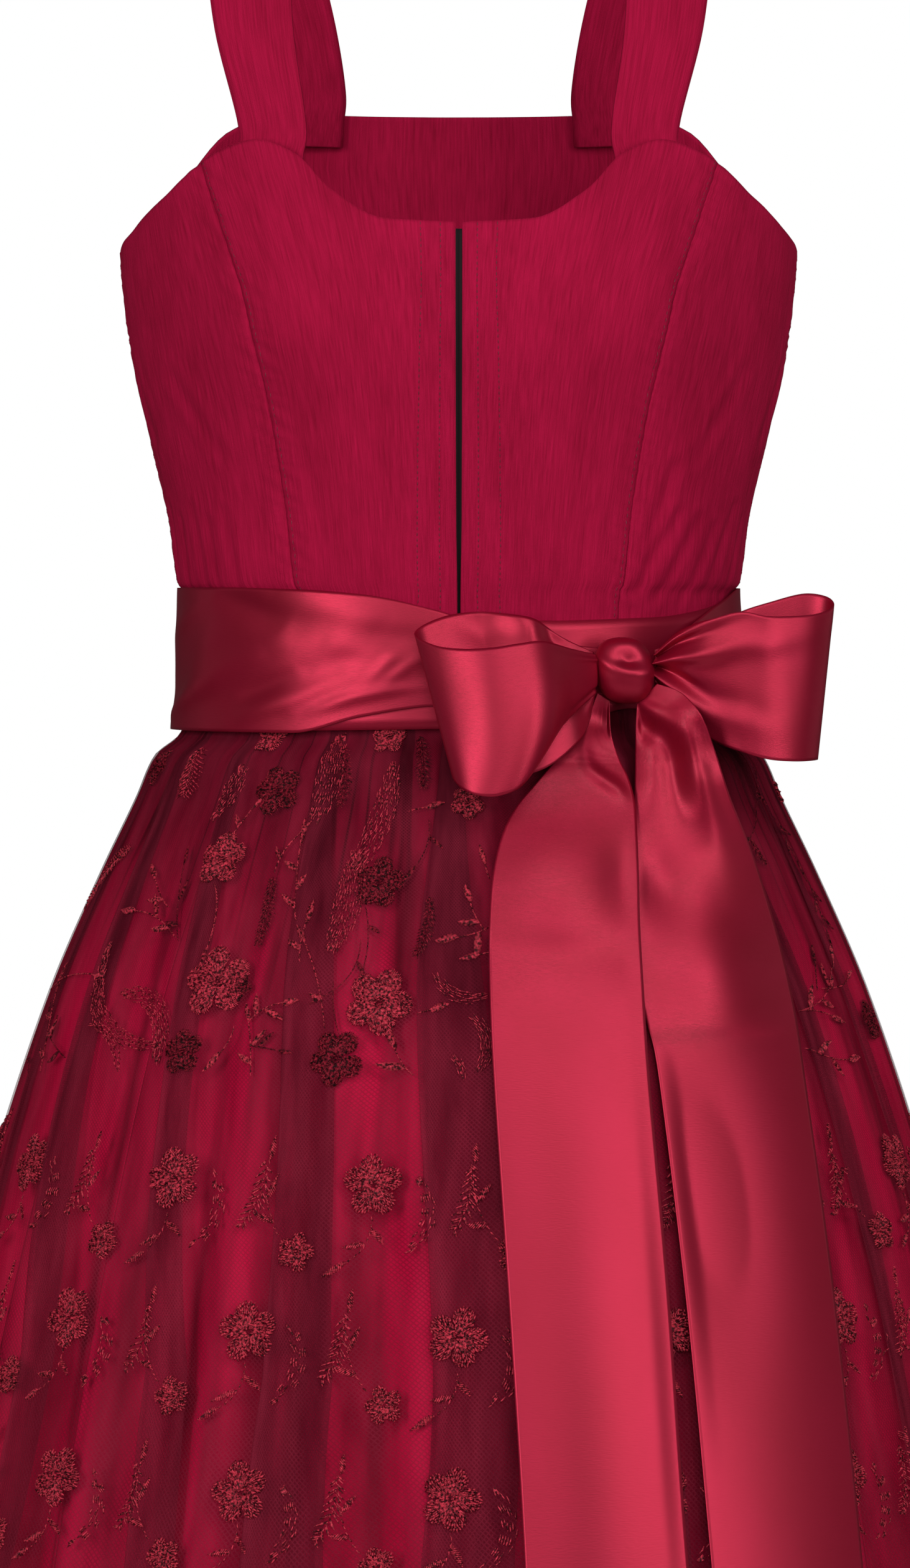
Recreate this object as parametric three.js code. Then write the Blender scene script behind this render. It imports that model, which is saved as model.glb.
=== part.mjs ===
// A dirndl in its worn, hollow form: a fitted bodice of seven panels with shoulder straps,
// a gathered skirt of four panels, a sheer apron over the skirt's front and sides, and a
// satin ribbon that is the apron's waistband, goes round the waist once more and is tied
// in a bow on the right of the front.
// Sizes are in millimetres, +Z is up, and the front faces -Y. Left and right are as seen
// from the front. The origin is the middle of the waist, where the wearer holds the dress.
// Each piece is a cloth wall: a grid of points on its outer face, and the same grid moved
// in by the cloth's thickness.
import * as THREE from 'three';

// Thicknesses and clearances of the cloth.
const BODICE_CLOTH = 1.8;
const SKIRT_CLOTH = 1.4;
const APRON_CLOTH = 1.0;
const RIBBON_CLOTH = 1.0;
const PLACKET_CLOTH = 1.0;
const SEAM_GAP = 0.3;
const LAYER_GAP = 0.5;

// Heights of the garment's main lines.
const WAIST_SEAM_Z = -12;
const SKIRT_HEM_Z = -650;
const SASH_BOTTOM_Z = -42;
const APRON_TOP_Z = -24;
const APRON_HEM_Z = -600;

// Depth of the figure over its width, at the waist, and how much rounder the hem is.
const WAIST_ROUNDNESS = 0.725;
const HEM_ROUNDNESS_GAIN = 0.155;
const ROUNDNESS_POWER = 0.7;

// Gathers of the skirt.
const GATHERS = 24;
const STEPS_PER_GATHER = 6;
const GATHER_STEP_DEG = 360 / (GATHERS * STEPS_PER_GATHER);
const APRON_GATHER_SHARE = 0.75;
const APRON_EDGE_DEG = 100;

// Front closing of the bodice.
const PLACKET_HALF_WIDTH = 9;
const PLACKET_BELOW_NECKLINE = 3;

// The outer face of the bodice: half width, and half depth to the front and the back.
const BODICE_SECTIONS = [
  { z: -12, width: 132.0, front: 95.6, back: 95.6 },
  { z: 0, width: 132.4, front: 95.8, back: 95.8 },
  { z: 25, width: 133.2, front: 96.6, back: 96.6 },
  { z: 29.5, width: 136.5, front: 99.4, back: 99.4 },
  { z: 38, width: 138.2, front: 101.2, back: 101.2 },
  { z: 58, width: 141.1, front: 104.5, back: 104 },
  { z: 100, width: 150.0, front: 113, back: 110 },
  { z: 150, width: 160.0, front: 120, back: 116 },
  { z: 185, width: 164.0, front: 120, back: 119 },
  { z: 215, width: 164.5, front: 114, back: 119 },
  { z: 245, width: 161.0, front: 104, back: 116 },
  { z: 275, width: 156.0, front: 94, back: 111 },
];

// Rows of points up the bodice: the level ones, and how many steps in all.
const BODICE_LEVEL_ROWS = [8, 25, 29.5, 38, 58];
const BODICE_STEPS = 12;

// The fullness that the cups' seams give: how far out, and where.
const CUP = { depth: 15, angle: 31, angleSpread: 21, z: 158, zSpread: 44 };

// The bodice's top edge, by angle from the centre front.
const TOP_EDGE = [
  { angle: 0, z: 196 },
  { angle: 12, z: 198 },
  { angle: 21, z: 212 },
  { angle: 28, z: 230 },
  { angle: 36, z: 237 },
  { angle: 44, z: 232 },
  { angle: 58, z: 212 },
  { angle: 76, z: 195 },
  { angle: 93, z: 189 },
  { angle: 108, z: 197 },
  { angle: 122, z: 226 },
  { angle: 134, z: 256 },
  { angle: 146, z: 266 },
  { angle: 162, z: 266 },
  { angle: 180, z: 266 },
];

// Angles of the bodice's seams from the centre front, at each height.
const SEAMS = [
  { z: -12, closing: 0.25, cup: 34.0, side: 92, back: 150 },
  { z: 27, closing: 0.30, cup: 34.8, side: 92, back: 149 },
  { z: 58, closing: 0.48, cup: 35.1, side: 92, back: 147 },
  { z: 110, closing: 0.50, cup: 35.3, side: 92, back: 143 },
  { z: 160, closing: 0.50, cup: 37.0, side: 92, back: 136 },
  { z: 200, closing: 0.50, cup: 43.0, side: 92, back: 127 },
  { z: 240, closing: 0.50, cup: 51.0, side: 92, back: 120 },
];

// The crests of the skirt's gathers under the apron: half width, how deep the gathers are,
// and how far out the apron lies.
const SKIRT_SECTIONS = [
  { z: -12, crest: 132.2, gather: 0.3, apron: 1.4 },
  { z: -24, crest: 132.7, gather: 0.3, apron: 1.7 },
  { z: -42, crest: 134.8, gather: 0.5, apron: 2.3 },
  { z: -54, crest: 147.9, gather: 1.0, apron: 2.8 },
  { z: -74, crest: 156.8, gather: 1.4, apron: 2.7 },
  { z: -110, crest: 174.0, gather: 2.0, apron: 2.5 },
  { z: -170, crest: 200.0, gather: 3.0, apron: 2.5 },
  { z: -270, crest: 232.5, gather: 5.5, apron: 2.6 },
  { z: -430, crest: 273.5, gather: 9.5, apron: 2.8 },
  { z: -650, crest: 319.0, gather: 14.5, apron: 3.0 },
];
const SKIRT_RINGS = [WAIST_SEAM_Z, APRON_TOP_Z, -42, -54, -74, -110, -170, -270, -430, SKIRT_HEM_Z];
const APRON_RINGS = [APRON_TOP_Z, -42, -54, -74, -110, -170, -270, -430, APRON_HEM_Z];

// The inner face of the ribbon round the waist, and the heights of its two layers' edges
// at each angle. The second layer goes from the knot by the right and the back to the
// knot's left, and its ends stand out towards the knot.
const RIBBON_STEP_DEG = 6;
const RIBBON_SECTIONS = [
  { z: -42, width: 137.8 },
  { z: -32, width: 136.4 },
  { z: -20, width: 135.0 },
  { z: 0, width: 134.0 },
  { z: 28, width: 134.4 },
];
const WAISTBAND_EDGES = [
  { angle: -180, top: 24, bottom: -40 },
  { angle: -90, top: 24, bottom: -40 },
  { angle: -40, top: 22, bottom: -40 },
  { angle: -10, top: 15.5, bottom: -39 },
  { angle: 20, top: 11.8, bottom: -38 },
  { angle: 28, top: 12.2, bottom: -33 },
  { angle: 36, top: 12.8, bottom: -29.5 },
  { angle: 45, top: 13.5, bottom: -33 },
  { angle: 58, top: 16.5, bottom: -38 },
  { angle: 70, top: 20, bottom: -39 },
  { angle: 100, top: 24, bottom: -40 },
  { angle: 180, top: 24, bottom: -40 },
];
const WRAP_EDGES = [
  { angle: 42, top: -1, bottom: -21, out: 7 },
  { angle: 48, top: 3, bottom: -24, out: 3.5 },
  { angle: 55, top: 11, bottom: -30, out: 0.6 },
  { angle: 66, top: 20, bottom: -36, out: 0 },
  { angle: 82, top: 27, bottom: -40, out: 0 },
  { angle: 120, top: 27.5, bottom: -41, out: 0 },
  { angle: 240, top: 27.5, bottom: -41, out: 0 },
  { angle: 300, top: 27.5, bottom: -41, out: 0 },
  { angle: 326, top: 26.5, bottom: -41, out: 0 },
  { angle: 341, top: 24, bottom: -33, out: 0 },
  { angle: 355, top: 17, bottom: -28, out: 0 },
  { angle: 367, top: 8, bottom: -27, out: 0.6 },
  { angle: 378, top: 2, bottom: -25, out: 0.7 },
  { angle: 390, top: -1.5, bottom: -22.5, out: 0.7 },
];

// The knot of the bow.
const KNOT = { x: 77.5, y: -97.2, z: -11.5, halfWidth: 14, halfDepth: 12.6, halfHeight: 16 };
const KNOT_CREASE = 1.6;

// The bow's loops: a row for each line across the ribbon, from the front of the knot out
// to the loop's end and back behind the knot.
const LOOP_LEFT = [
  { topX: 64.15, topY: -103.5, topZ: -4, bottomX: 64.15, bottomY: -104, bottomZ: -22 },
  { topX: 52, topY: -114, topZ: -1, bottomX: 49, bottomY: -119, bottomZ: -36 },
  { topX: 39, topY: -126, topZ: 2.5, bottomX: 39, bottomY: -134, bottomZ: -51 },
  { topX: 28, topY: -131, topZ: 1.5, bottomX: 29, bottomY: -142, bottomZ: -64 },
  { topX: 15, topY: -132, topZ: -0.5, bottomX: 18, bottomY: -145, bottomZ: -68.5 },
  { topX: 1, topY: -129, topZ: -1, bottomX: 8, bottomY: -144, bottomZ: -68 },
  { topX: -11, topY: -123, topZ: 0.5, bottomX: 1, bottomY: -140, bottomZ: -65 },
  { topX: -20.5, topY: -114, topZ: 5, bottomX: -3, bottomY: -133, bottomZ: -60.5 },
  { topX: -17, topY: -106.5, topZ: 9.5, bottomX: -1, bottomY: -127, bottomZ: -59.5 },
  { topX: -3, topY: -103.5, topZ: 15, bottomX: 11, bottomY: -124, bottomZ: -59 },
  { topX: 12.5, topY: -103, topZ: 16.5, bottomX: 27, bottomY: -122.5, bottomZ: -60 },
  { topX: 30, topY: -101.5, topZ: 13, bottomX: 41, bottomY: -120, bottomZ: -56 },
  { topX: 41, topY: -99.5, topZ: 9, bottomX: 54, bottomY: -113, bottomZ: -46 },
  { topX: 51, topY: -97, topZ: 2.5, bottomX: 60, bottomY: -104, bottomZ: -37 },
  { topX: 63.0, topY: -93.5, topZ: -3, bottomX: 62.6, bottomY: -96.5, bottomZ: -24 },
];
const LOOP_RIGHT = [
  { topX: 91.7, topY: -98, topZ: -3, bottomX: 91.7, bottomY: -96, bottomZ: -15 },
  { topX: 101, topY: -102, topZ: 6, bottomX: 102, bottomY: -98, bottomZ: -27 },
  { topX: 110, topY: -104, topZ: 10.5, bottomX: 111, bottomY: -99, bottomZ: -37.5 },
  { topX: 119, topY: -104, topZ: 13, bottomX: 120, bottomY: -100, bottomZ: -45 },
  { topX: 132, topY: -102, topZ: 16, bottomX: 134, bottomY: -104, bottomZ: -50 },
  { topX: 144, topY: -101, topZ: 14, bottomX: 145, bottomY: -103, bottomZ: -53 },
  { topX: 156, topY: -97, topZ: 14, bottomX: 156, bottomY: -99, bottomZ: -54 },
  { topX: 168, topY: -91, topZ: 15, bottomX: 164, bottomY: -93, bottomZ: -54 },
  { topX: 176.5, topY: -82, topZ: 18.5, bottomX: 169, bottomY: -85, bottomZ: -53.5 },
  { topX: 174, topY: -74, topZ: 23, bottomX: 167, bottomY: -77, bottomZ: -52.5 },
  { topX: 163, topY: -70, topZ: 24.5, bottomX: 158, bottomY: -73, bottomZ: -51.5 },
  { topX: 147, topY: -70, topZ: 20.5, bottomX: 143, bottomY: -74, bottomZ: -49.5 },
  { topX: 133, topY: -73, topZ: 16, bottomX: 131, bottomY: -78, bottomZ: -45 },
  { topX: 116, topY: -81, topZ: 8, bottomX: 114, bottomY: -86, bottomZ: -33 },
  { topX: 91.6, topY: -91, topZ: -2, bottomX: 91.6, bottomY: -93, bottomZ: -17 },
];

// The bow's tails: a row for each line across the ribbon. An edge's stand is how far it is
// in front of the apron or of the ribbon round the waist.
const TAIL_LEFT = [
  { leftX: 65, leftZ: -22, leftStand: 5.5, rightX: 70.5, rightZ: -25.6, rightStand: 8.5 },
  { leftX: 59, leftZ: -36, leftStand: 5.5, rightX: 71, rightZ: -40, rightStand: 9.5 },
  { leftX: 46, leftZ: -52, leftStand: 5, rightX: 75, rightZ: -53, rightStand: 7.5 },
  { leftX: 35.5, leftZ: -64, leftStand: 3.4, rightX: 79, rightZ: -61, rightStand: 6.2 },
  { leftX: 26, leftZ: -75, leftStand: 3, rightX: 82, rightZ: -72, rightStand: 6 },
  { leftX: 19.5, leftZ: -88, leftStand: 3, rightX: 83, rightZ: -88, rightStand: 6 },
  { leftX: 15.5, leftZ: -105, leftStand: 3, rightX: 83.5, rightZ: -107, rightStand: 5.8 },
  { leftX: 14, leftZ: -124, leftStand: 3, rightX: 83.7, rightZ: -127, rightStand: 5.4 },
  { leftX: 13.8, leftZ: -150, leftStand: 3, rightX: 84.8, rightZ: -152, rightStand: 4.8 },
  { leftX: 15.8, leftZ: -198, leftStand: 3, rightX: 87.5, rightZ: -199, rightStand: 3.6 },
  { leftX: 22, leftZ: -290, leftStand: 3, rightX: 95, rightZ: -290, rightStand: 3 },
  { leftX: 28, leftZ: -385, leftStand: 3, rightX: 101, rightZ: -385, rightStand: 3 },
  { leftX: 34, leftZ: -500, leftStand: 3, rightX: 108, rightZ: -476, rightStand: 3 },
];
const TAIL_RIGHT = [
  { leftX: 83.3, leftZ: -27.3, leftStand: 15.7, rightX: 92.5, rightZ: -17.6, rightStand: 26.7 },
  { leftX: 82.8, leftZ: -37, leftStand: 15, rightX: 104, rightZ: -22, rightStand: 42 },
  { leftX: 82.5, leftZ: -49, leftStand: 9.5, rightX: 113, rightZ: -33, rightStand: 56 },
  { leftX: 82.2, leftZ: -62, leftStand: 3.8, rightX: 119.5, rightZ: -49, rightStand: 48 },
  { leftX: 80.8, leftZ: -79, leftStand: 2.2, rightX: 126.5, rightZ: -70, rightStand: 35 },
  { leftX: 79.8, leftZ: -101, leftStand: 1.9, rightX: 136.5, rightZ: -94, rightStand: 22 },
  { leftX: 79.8, leftZ: -122, leftStand: 1.9, rightX: 144.5, rightZ: -118, rightStand: 14 },
  { leftX: 81.5, leftZ: -148, leftStand: 1.9, rightX: 151.5, rightZ: -143, rightStand: 9 },
  { leftX: 86.6, leftZ: -173, leftStand: 2, rightX: 157.5, rightZ: -172, rightStand: 5 },
  { leftX: 91.8, leftZ: -198, leftStand: 2.2, rightX: 161, rightZ: -198, rightStand: 4 },
  { leftX: 103, leftZ: -295, leftStand: 3, rightX: 172.5, rightZ: -292, rightStand: 3 },
  { leftX: 112, leftZ: -395, leftStand: 3, rightX: 182, rightZ: -392, rightStand: 3 },
  { leftX: 120, leftZ: -490, leftStand: 3, rightX: 192, rightZ: -515, rightStand: 3 },
];

// How far above and below a point of a tail the cloth behind it is looked at.
const TAIL_BRIDGE = [-10, -5, 0, 5, 10];

// The shoulder straps: a row for each line across the strap, on the +X side. The first
// rows lie inside the front panel and the last ones inside the back panel.
const STRAP_TUCK = { frontInner: 27, frontOuter: 41, backInner: 158, backOuter: 141 };
const STRAP_FRONT_TUCK_Z = [216, 228, 244];
const STRAP_BACK_TUCK_Z = [278, 262, 250];
const STRAP_ARCH = [
  { innerX: 78, innerY: -84, outerX: 115, outerY: -72, z: 290 },
  { innerX: 80, innerY: -62, outerX: 121, outerY: -52, z: 340 },
  { innerX: 82, innerY: -32, outerX: 125, outerY: -26, z: 382 },
  { innerX: 83, innerY: 2, outerX: 126, outerY: 4, z: 398 },
  { innerX: 80, innerY: 36, outerX: 122, outerY: 34, z: 388 },
  { innerX: 72, innerY: 66, outerX: 113, outerY: 60, z: 352 },
  { innerX: 62, innerY: 88, outerX: 102, outerY: 78, z: 310 },
];
const STRAP_SLOPE = 9;

const DEG = Math.PI / 180;

// A smooth value of one column between the rows of a table, with no overshoot.
function between(rows, by, at, column) {
  const last = rows.length - 1;
  const sign = Math.sign(rows[last][by] - rows[0][by]);
  let i = 0;
  while (i < last - 1 && sign * (at - rows[i + 1][by]) > 0) i += 1;
  const secant = (k) => (rows[k + 1][column] - rows[k][column]) / (rows[k + 1][by] - rows[k][by]);
  const slope = (k) => {
    if (k === 0) return secant(0);
    if (k === last) return secant(last - 1);
    const before = secant(k - 1);
    const after = secant(k);
    return before * after > 0 ? (2 * before * after) / (before + after) : 0;
  };
  const span = rows[i + 1][by] - rows[i][by];
  const t = THREE.MathUtils.clamp((at - rows[i][by]) / span, 0, 1);
  const t2 = t * t;
  const t3 = t2 * t;
  return (2 * t3 - 3 * t2 + 1) * rows[i][column] + (t3 - 2 * t2 + t) * span * slope(i)
    + (3 * t2 - 2 * t3) * rows[i + 1][column] + (t3 - t2) * span * slope(i + 1);
}

// A point of a smooth curve through a table's rows, at a share of its length in rows.
function along(rows, share, column) {
  const place = THREE.MathUtils.clamp(share, 0, 1) * (rows.length - 1);
  const i = Math.min(Math.floor(place), rows.length - 2);
  const t = place - i;
  const row = (k) => rows[THREE.MathUtils.clamp(k, 0, rows.length - 1)][column];
  const [a, b, c, d] = [row(i - 1), row(i), row(i + 1), row(i + 2)];
  return 0.5 * (2 * b + (c - a) * t + (2 * a - 5 * b + 4 * c - d) * t * t
    + (3 * b - a - 3 * c + d) * t * t * t);
}

function mix(a, b, share) {
  return a + (b - a) * share;
}

function bell(value, middle, spread) {
  return Math.exp(-(((value - middle) / spread) ** 2));
}

// A cloth wall. at(u, v) is its outer face, with u and v from 0 to 1, and the outward side
// is that of the u direction crossed with the v direction.
function clothWall(at, uSteps, vSteps, thickness, closed = false) {
  const nudge = 1e-4;
  const wrap = (u) => (closed ? (u + 1) % 1 : THREE.MathUtils.clamp(u, 0, 1));
  const columns = closed ? uSteps : uSteps + 1;
  const outer = [];
  const inner = [];
  for (let j = 0; j <= vSteps; j += 1) {
    for (let i = 0; i < columns; i += 1) {
      const u = i / uSteps;
      const v = j / vSteps;
      const point = at(u, v);
      const alongU = at(wrap(u + nudge), v).sub(at(wrap(u - nudge), v));
      const alongV = at(u, Math.min(v + nudge, 1)).sub(at(u, Math.max(v - nudge, 0)));
      const normal = alongU.cross(alongV).normalize();
      outer.push(point);
      inner.push(point.clone().addScaledVector(normal, -thickness));
    }
  }
  const points = [...outer, ...inner];
  const under = outer.length;
  const id = (i, j) => j * columns + (closed ? i % columns : i);
  const index = [];
  const quad = (a, b, c, d) => index.push(a, b, c, a, c, d);
  for (let j = 0; j < vSteps; j += 1) {
    for (let i = 0; i < uSteps; i += 1) {
      quad(id(i, j), id(i + 1, j), id(i + 1, j + 1), id(i, j + 1));
      quad(under + id(i, j), under + id(i, j + 1), under + id(i + 1, j + 1), under + id(i + 1, j));
    }
  }
  for (let i = 0; i < uSteps; i += 1) {
    quad(id(i + 1, 0), id(i, 0), under + id(i, 0), under + id(i + 1, 0));
    quad(id(i, vSteps), id(i + 1, vSteps), under + id(i + 1, vSteps), under + id(i, vSteps));
  }
  if (!closed) {
    for (let j = 0; j < vSteps; j += 1) {
      quad(id(0, j), id(0, j + 1), under + id(0, j + 1), under + id(0, j));
      quad(id(uSteps, j + 1), id(uSteps, j), under + id(uSteps, j), under + id(uSteps, j + 1));
    }
  }
  const geometry = new THREE.BufferGeometry();
  geometry.setAttribute('position', new THREE.Float32BufferAttribute(points.flatMap((p) => p.toArray()), 3));
  geometry.setIndex(index);
  return geometry;
}

// A point on the outer face of the bodice, at an angle from the centre front and a height.
function bodicePoint(degrees, z, inward = 0) {
  const angle = degrees * DEG;
  const cup = CUP.depth * bell(z, CUP.z, CUP.zSpread)
    * (bell(degrees, CUP.angle, CUP.angleSpread) + bell(degrees, -CUP.angle, CUP.angleSpread));
  const width = between(BODICE_SECTIONS, 'z', z, 'width') - inward + 0.35 * cup;
  const side = Math.cos(angle) > 0 ? 'front' : 'back';
  const depth = between(BODICE_SECTIONS, 'z', z, side) - inward + cup;
  return new THREE.Vector3(width * Math.sin(angle), -depth * Math.cos(angle), z);
}

function topEdge(degrees) {
  const turned = Math.abs(((degrees + 540) % 360) - 180);
  return between(TOP_EDGE, 'angle', turned, 'z');
}

// The height of a row of the bodice: level rows at the waist, then even steps to the top.
function bodiceRow(v, bottom, top) {
  const place = v * BODICE_STEPS;
  const level = [bottom, ...BODICE_LEVEL_ROWS];
  const steps = level.length - 1;
  if (place >= steps) return mix(level[steps], top, (place - steps) / (BODICE_STEPS - steps));
  const i = Math.floor(place);
  return mix(level[i], level[i + 1], place - i);
}

// One panel of the bodice between two seams. Each seam is a signed angle at each height.
function bodicePanel(fromSeam, toSeam, uSteps) {
  const halfGap = (SEAM_GAP / 2 / BODICE_SECTIONS[0].front) / DEG;
  return clothWall((u, v) => {
    let z = bodiceRow(v, WAIST_SEAM_Z + SEAM_GAP, topEdge(mix(fromSeam(0), toSeam(0), u)));
    let degrees = 0;
    for (let pass = 0; pass < 6; pass += 1) {
      degrees = mix(fromSeam(z) + halfGap, toSeam(z) - halfGap, u);
      z = bodiceRow(v, WAIST_SEAM_Z + SEAM_GAP, topEdge(degrees));
    }
    return bodicePoint(degrees, z);
  }, uSteps, BODICE_STEPS, BODICE_CLOTH);
}

function seam(name, side, turn = 0) {
  return (z) => turn + side * between(SEAMS, 'z', z, name);
}

// The dark strip behind the front closing, which shows between the two front edges.
function placket() {
  const inward = BODICE_CLOTH + 2 * SEAM_GAP;
  return clothWall((u, v) => {
    const z = bodiceRow(v, WAIST_SEAM_Z + SEAM_GAP, TOP_EDGE[0].z - PLACKET_BELOW_NECKLINE);
    const point = bodicePoint(0, z, inward);
    point.x = mix(-PLACKET_HALF_WIDTH, PLACKET_HALF_WIDTH, u);
    point.y += 0.5 * (1 - Math.cos(point.x / 100)) * 100;
    return point;
  }, 2, BODICE_STEPS, PLACKET_CLOTH);
}

// A shoulder strap, tucked behind the top edge of the front and of the back.
function strap(side) {
  const tuck = BODICE_CLOTH + 4 * SEAM_GAP;
  const tucked = (angle, z) => {
    const point = bodicePoint(angle, z, tuck);
    return { x: point.x, y: point.y, z: point.z };
  };
  const arch = (edge) => STRAP_ARCH.map((row) => ({
    x: row[`${edge}X`],
    y: row[`${edge}Y`],
    z: row.z - (edge === 'outer' ? STRAP_SLOPE * bell(row.z, 400, 60) : 0),
  }));
  const edges = {};
  for (const edge of ['inner', 'outer']) {
    const name = edge === 'inner' ? 'Inner' : 'Outer';
    edges[edge] = [
      ...STRAP_FRONT_TUCK_Z.map((z) => tucked(STRAP_TUCK[`front${name}`], z)),
      ...arch(edge),
      ...STRAP_BACK_TUCK_Z.map((z) => tucked(STRAP_TUCK[`back${name}`], z)),
    ];
  }
  return clothWall((u, v) => {
    const across = side > 0 ? u : 1 - u;
    const value = (axis) => mix(along(edges.inner, v, axis), along(edges.outer, v, axis), across);
    return new THREE.Vector3(side * value('x'), value('y'), value('z'));
  }, 2, 26, BODICE_CLOTH);
}

// How round the skirt is at a height: its depth over its width.
function roundness(z) {
  const down = THREE.MathUtils.clamp((z - SASH_BOTTOM_Z) / (SKIRT_HEM_Z - SASH_BOTTOM_Z), 0, 1);
  return WAIST_ROUNDNESS + HEM_ROUNDNESS_GAIN * down ** ROUNDNESS_POWER;
}

// The gathers as a wave from -1 in a trough to 1 on a crest, uneven in width and depth.
function gatherWave(degrees) {
  const turn = 2 * Math.PI * (degrees / 360);
  const drift = 1.1 * Math.sin(3 * turn + 0.8) + 0.7 * Math.sin(7 * turn + 2.1);
  const depth = 0.82 + 0.12 * Math.sin(5 * turn + 1.3) + 0.06 * Math.sin(11 * turn);
  return depth * Math.cos(GATHERS * turn + drift);
}

function onSkirtRing(degrees, z, radius) {
  const angle = degrees * DEG;
  return new THREE.Vector3(radius * Math.sin(angle), -radius * roundness(z) * Math.cos(angle), z);
}

function skirtPoint(degrees, z) {
  const gather = between(SKIRT_SECTIONS, 'z', z, 'gather');
  const radius = between(SKIRT_SECTIONS, 'z', z, 'crest') + gather * (gatherWave(degrees) - 1);
  return onSkirtRing(degrees, z, radius);
}

// The apron's outer face: the skirt's points moved out, with shallower troughs.
function apronPoint(degrees, z) {
  const gather = APRON_GATHER_SHARE * between(SKIRT_SECTIONS, 'z', z, 'gather');
  const crest = between(SKIRT_SECTIONS, 'z', z, 'crest') + between(SKIRT_SECTIONS, 'z', z, 'apron');
  return onSkirtRing(degrees, z, crest + gather * (gatherWave(degrees) - 1));
}

function ringHeight(rings, v) {
  const place = v * (rings.length - 1);
  const i = Math.min(Math.floor(place), rings.length - 2);
  return mix(rings[i], rings[i + 1], place - i);
}

// A panel of the skirt between two angles, from the waist seam to the hem.
function skirtPanel(fromDegrees, toDegrees) {
  const steps = Math.round((toDegrees - fromDegrees) / GATHER_STEP_DEG);
  return clothWall((u, v) => {
    const z = ringHeight(SKIRT_RINGS, 1 - v);
    const radius = roundness(z) * between(SKIRT_SECTIONS, 'z', z, 'crest');
    const halfGap = SEAM_GAP / 2 / radius / DEG;
    return skirtPoint(mix(fromDegrees + halfGap, toDegrees - halfGap, u), z);
  }, steps, SKIRT_RINGS.length - 1, SKIRT_CLOTH);
}

function apron() {
  const steps = Math.round((2 * APRON_EDGE_DEG) / GATHER_STEP_DEG);
  return clothWall((u, v) => {
    const z = ringHeight(APRON_RINGS, 1 - v);
    return apronPoint(mix(-APRON_EDGE_DEG, APRON_EDGE_DEG, u), z);
  }, steps, APRON_RINGS.length - 1, APRON_CLOTH);
}

// A point of the ribbon round the waist, at a distance out from its inner face.
function ribbonPoint(degrees, z, outward) {
  const width = between(RIBBON_SECTIONS, 'z', z, 'width');
  const angle = degrees * DEG;
  const across = (width + outward) * Math.sin(angle);
  const forward = (width * WAIST_ROUNDNESS + outward) * Math.cos(angle);
  return new THREE.Vector3(across, -forward, z);
}

// The apron's own waistband, the ribbon's first layer, all round the waist.
function waistband() {
  return clothWall((u, v) => {
    const degrees = 360 * u - 180;
    const z = mix(
      between(WAISTBAND_EDGES, 'angle', degrees, 'bottom'),
      between(WAISTBAND_EDGES, 'angle', degrees, 'top'),
      v,
    );
    return ribbonPoint(degrees, z, RIBBON_CLOTH);
  }, 360 / RIBBON_STEP_DEG, 2, RIBBON_CLOTH, true);
}

// The ribbon's second layer, from the knot by the right and the back to the knot's left.
function sashWrap() {
  const first = WRAP_EDGES[0].angle;
  const last = WRAP_EDGES[WRAP_EDGES.length - 1].angle;
  return clothWall((u, v) => {
    const degrees = mix(first, last, u);
    const value = (column) => between(WRAP_EDGES, 'angle', degrees, column);
    const z = mix(value('bottom'), value('top'), v);
    return ribbonPoint(degrees, z, 2 * RIBBON_CLOTH + LAYER_GAP + value('out'));
  }, (last - first) / RIBBON_STEP_DEG, 2, RIBBON_CLOTH);
}

// The knot: one rounded form, with the crease where the ribbon wraps over itself.
function knot() {
  const ball = new THREE.SphereGeometry(1, 18, 12);
  ball.deleteAttribute('normal');
  ball.deleteAttribute('uv');
  const position = ball.getAttribute('position');
  const seen = new Map();
  const points = [];
  const merged = [];
  for (let i = 0; i < position.count; i += 1) {
    const p = new THREE.Vector3().fromBufferAttribute(position, i);
    const key = p.toArray().map((value) => value.toFixed(5)).join();
    if (!seen.has(key)) {
      seen.set(key, points.length);
      points.push(p);
    }
    merged.push(seen.get(key));
  }
  for (const p of points) {
    const crease = bell(p.y * 0.35 + p.x * 0.9 + 0.25, 0, 0.28) * Math.max(0, -p.z);
    const shrink = 1 - (KNOT_CREASE / KNOT.halfWidth) * crease;
    const [x, y, z] = [p.x, p.z, p.y];
    p.set(
      KNOT.x + KNOT.halfWidth * shrink * x,
      KNOT.y + KNOT.halfDepth * shrink * y,
      KNOT.z + KNOT.halfHeight * shrink * z,
    );
  }
  const index = [];
  const source = ball.getIndex();
  for (let i = 0; i < source.count; i += 3) {
    const [a, b, c] = [0, 1, 2].map((k) => merged[source.getX(i + k)]);
    if (a !== b && b !== c && a !== c) index.push(a, c, b);
  }
  const geometry = new THREE.BufferGeometry();
  geometry.setAttribute('position', new THREE.Float32BufferAttribute(points.flatMap((p) => p.toArray()), 3));
  geometry.setIndex(index);
  return geometry;
}

// A loop of the bow. Its outward side is the one that faces away from the loop's hollow.
function bowLoop(rows, outward) {
  return clothWall((u, v) => {
    const across = outward > 0 ? v : 1 - v;
    const value = (axis) => mix(
      along(rows, u, `bottom${axis}`),
      along(rows, u, `top${axis}`),
      across,
    );
    return new THREE.Vector3(value('X'), value('Y'), value('Z'));
  }, 30, 3, RIBBON_CLOTH);
}

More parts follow.
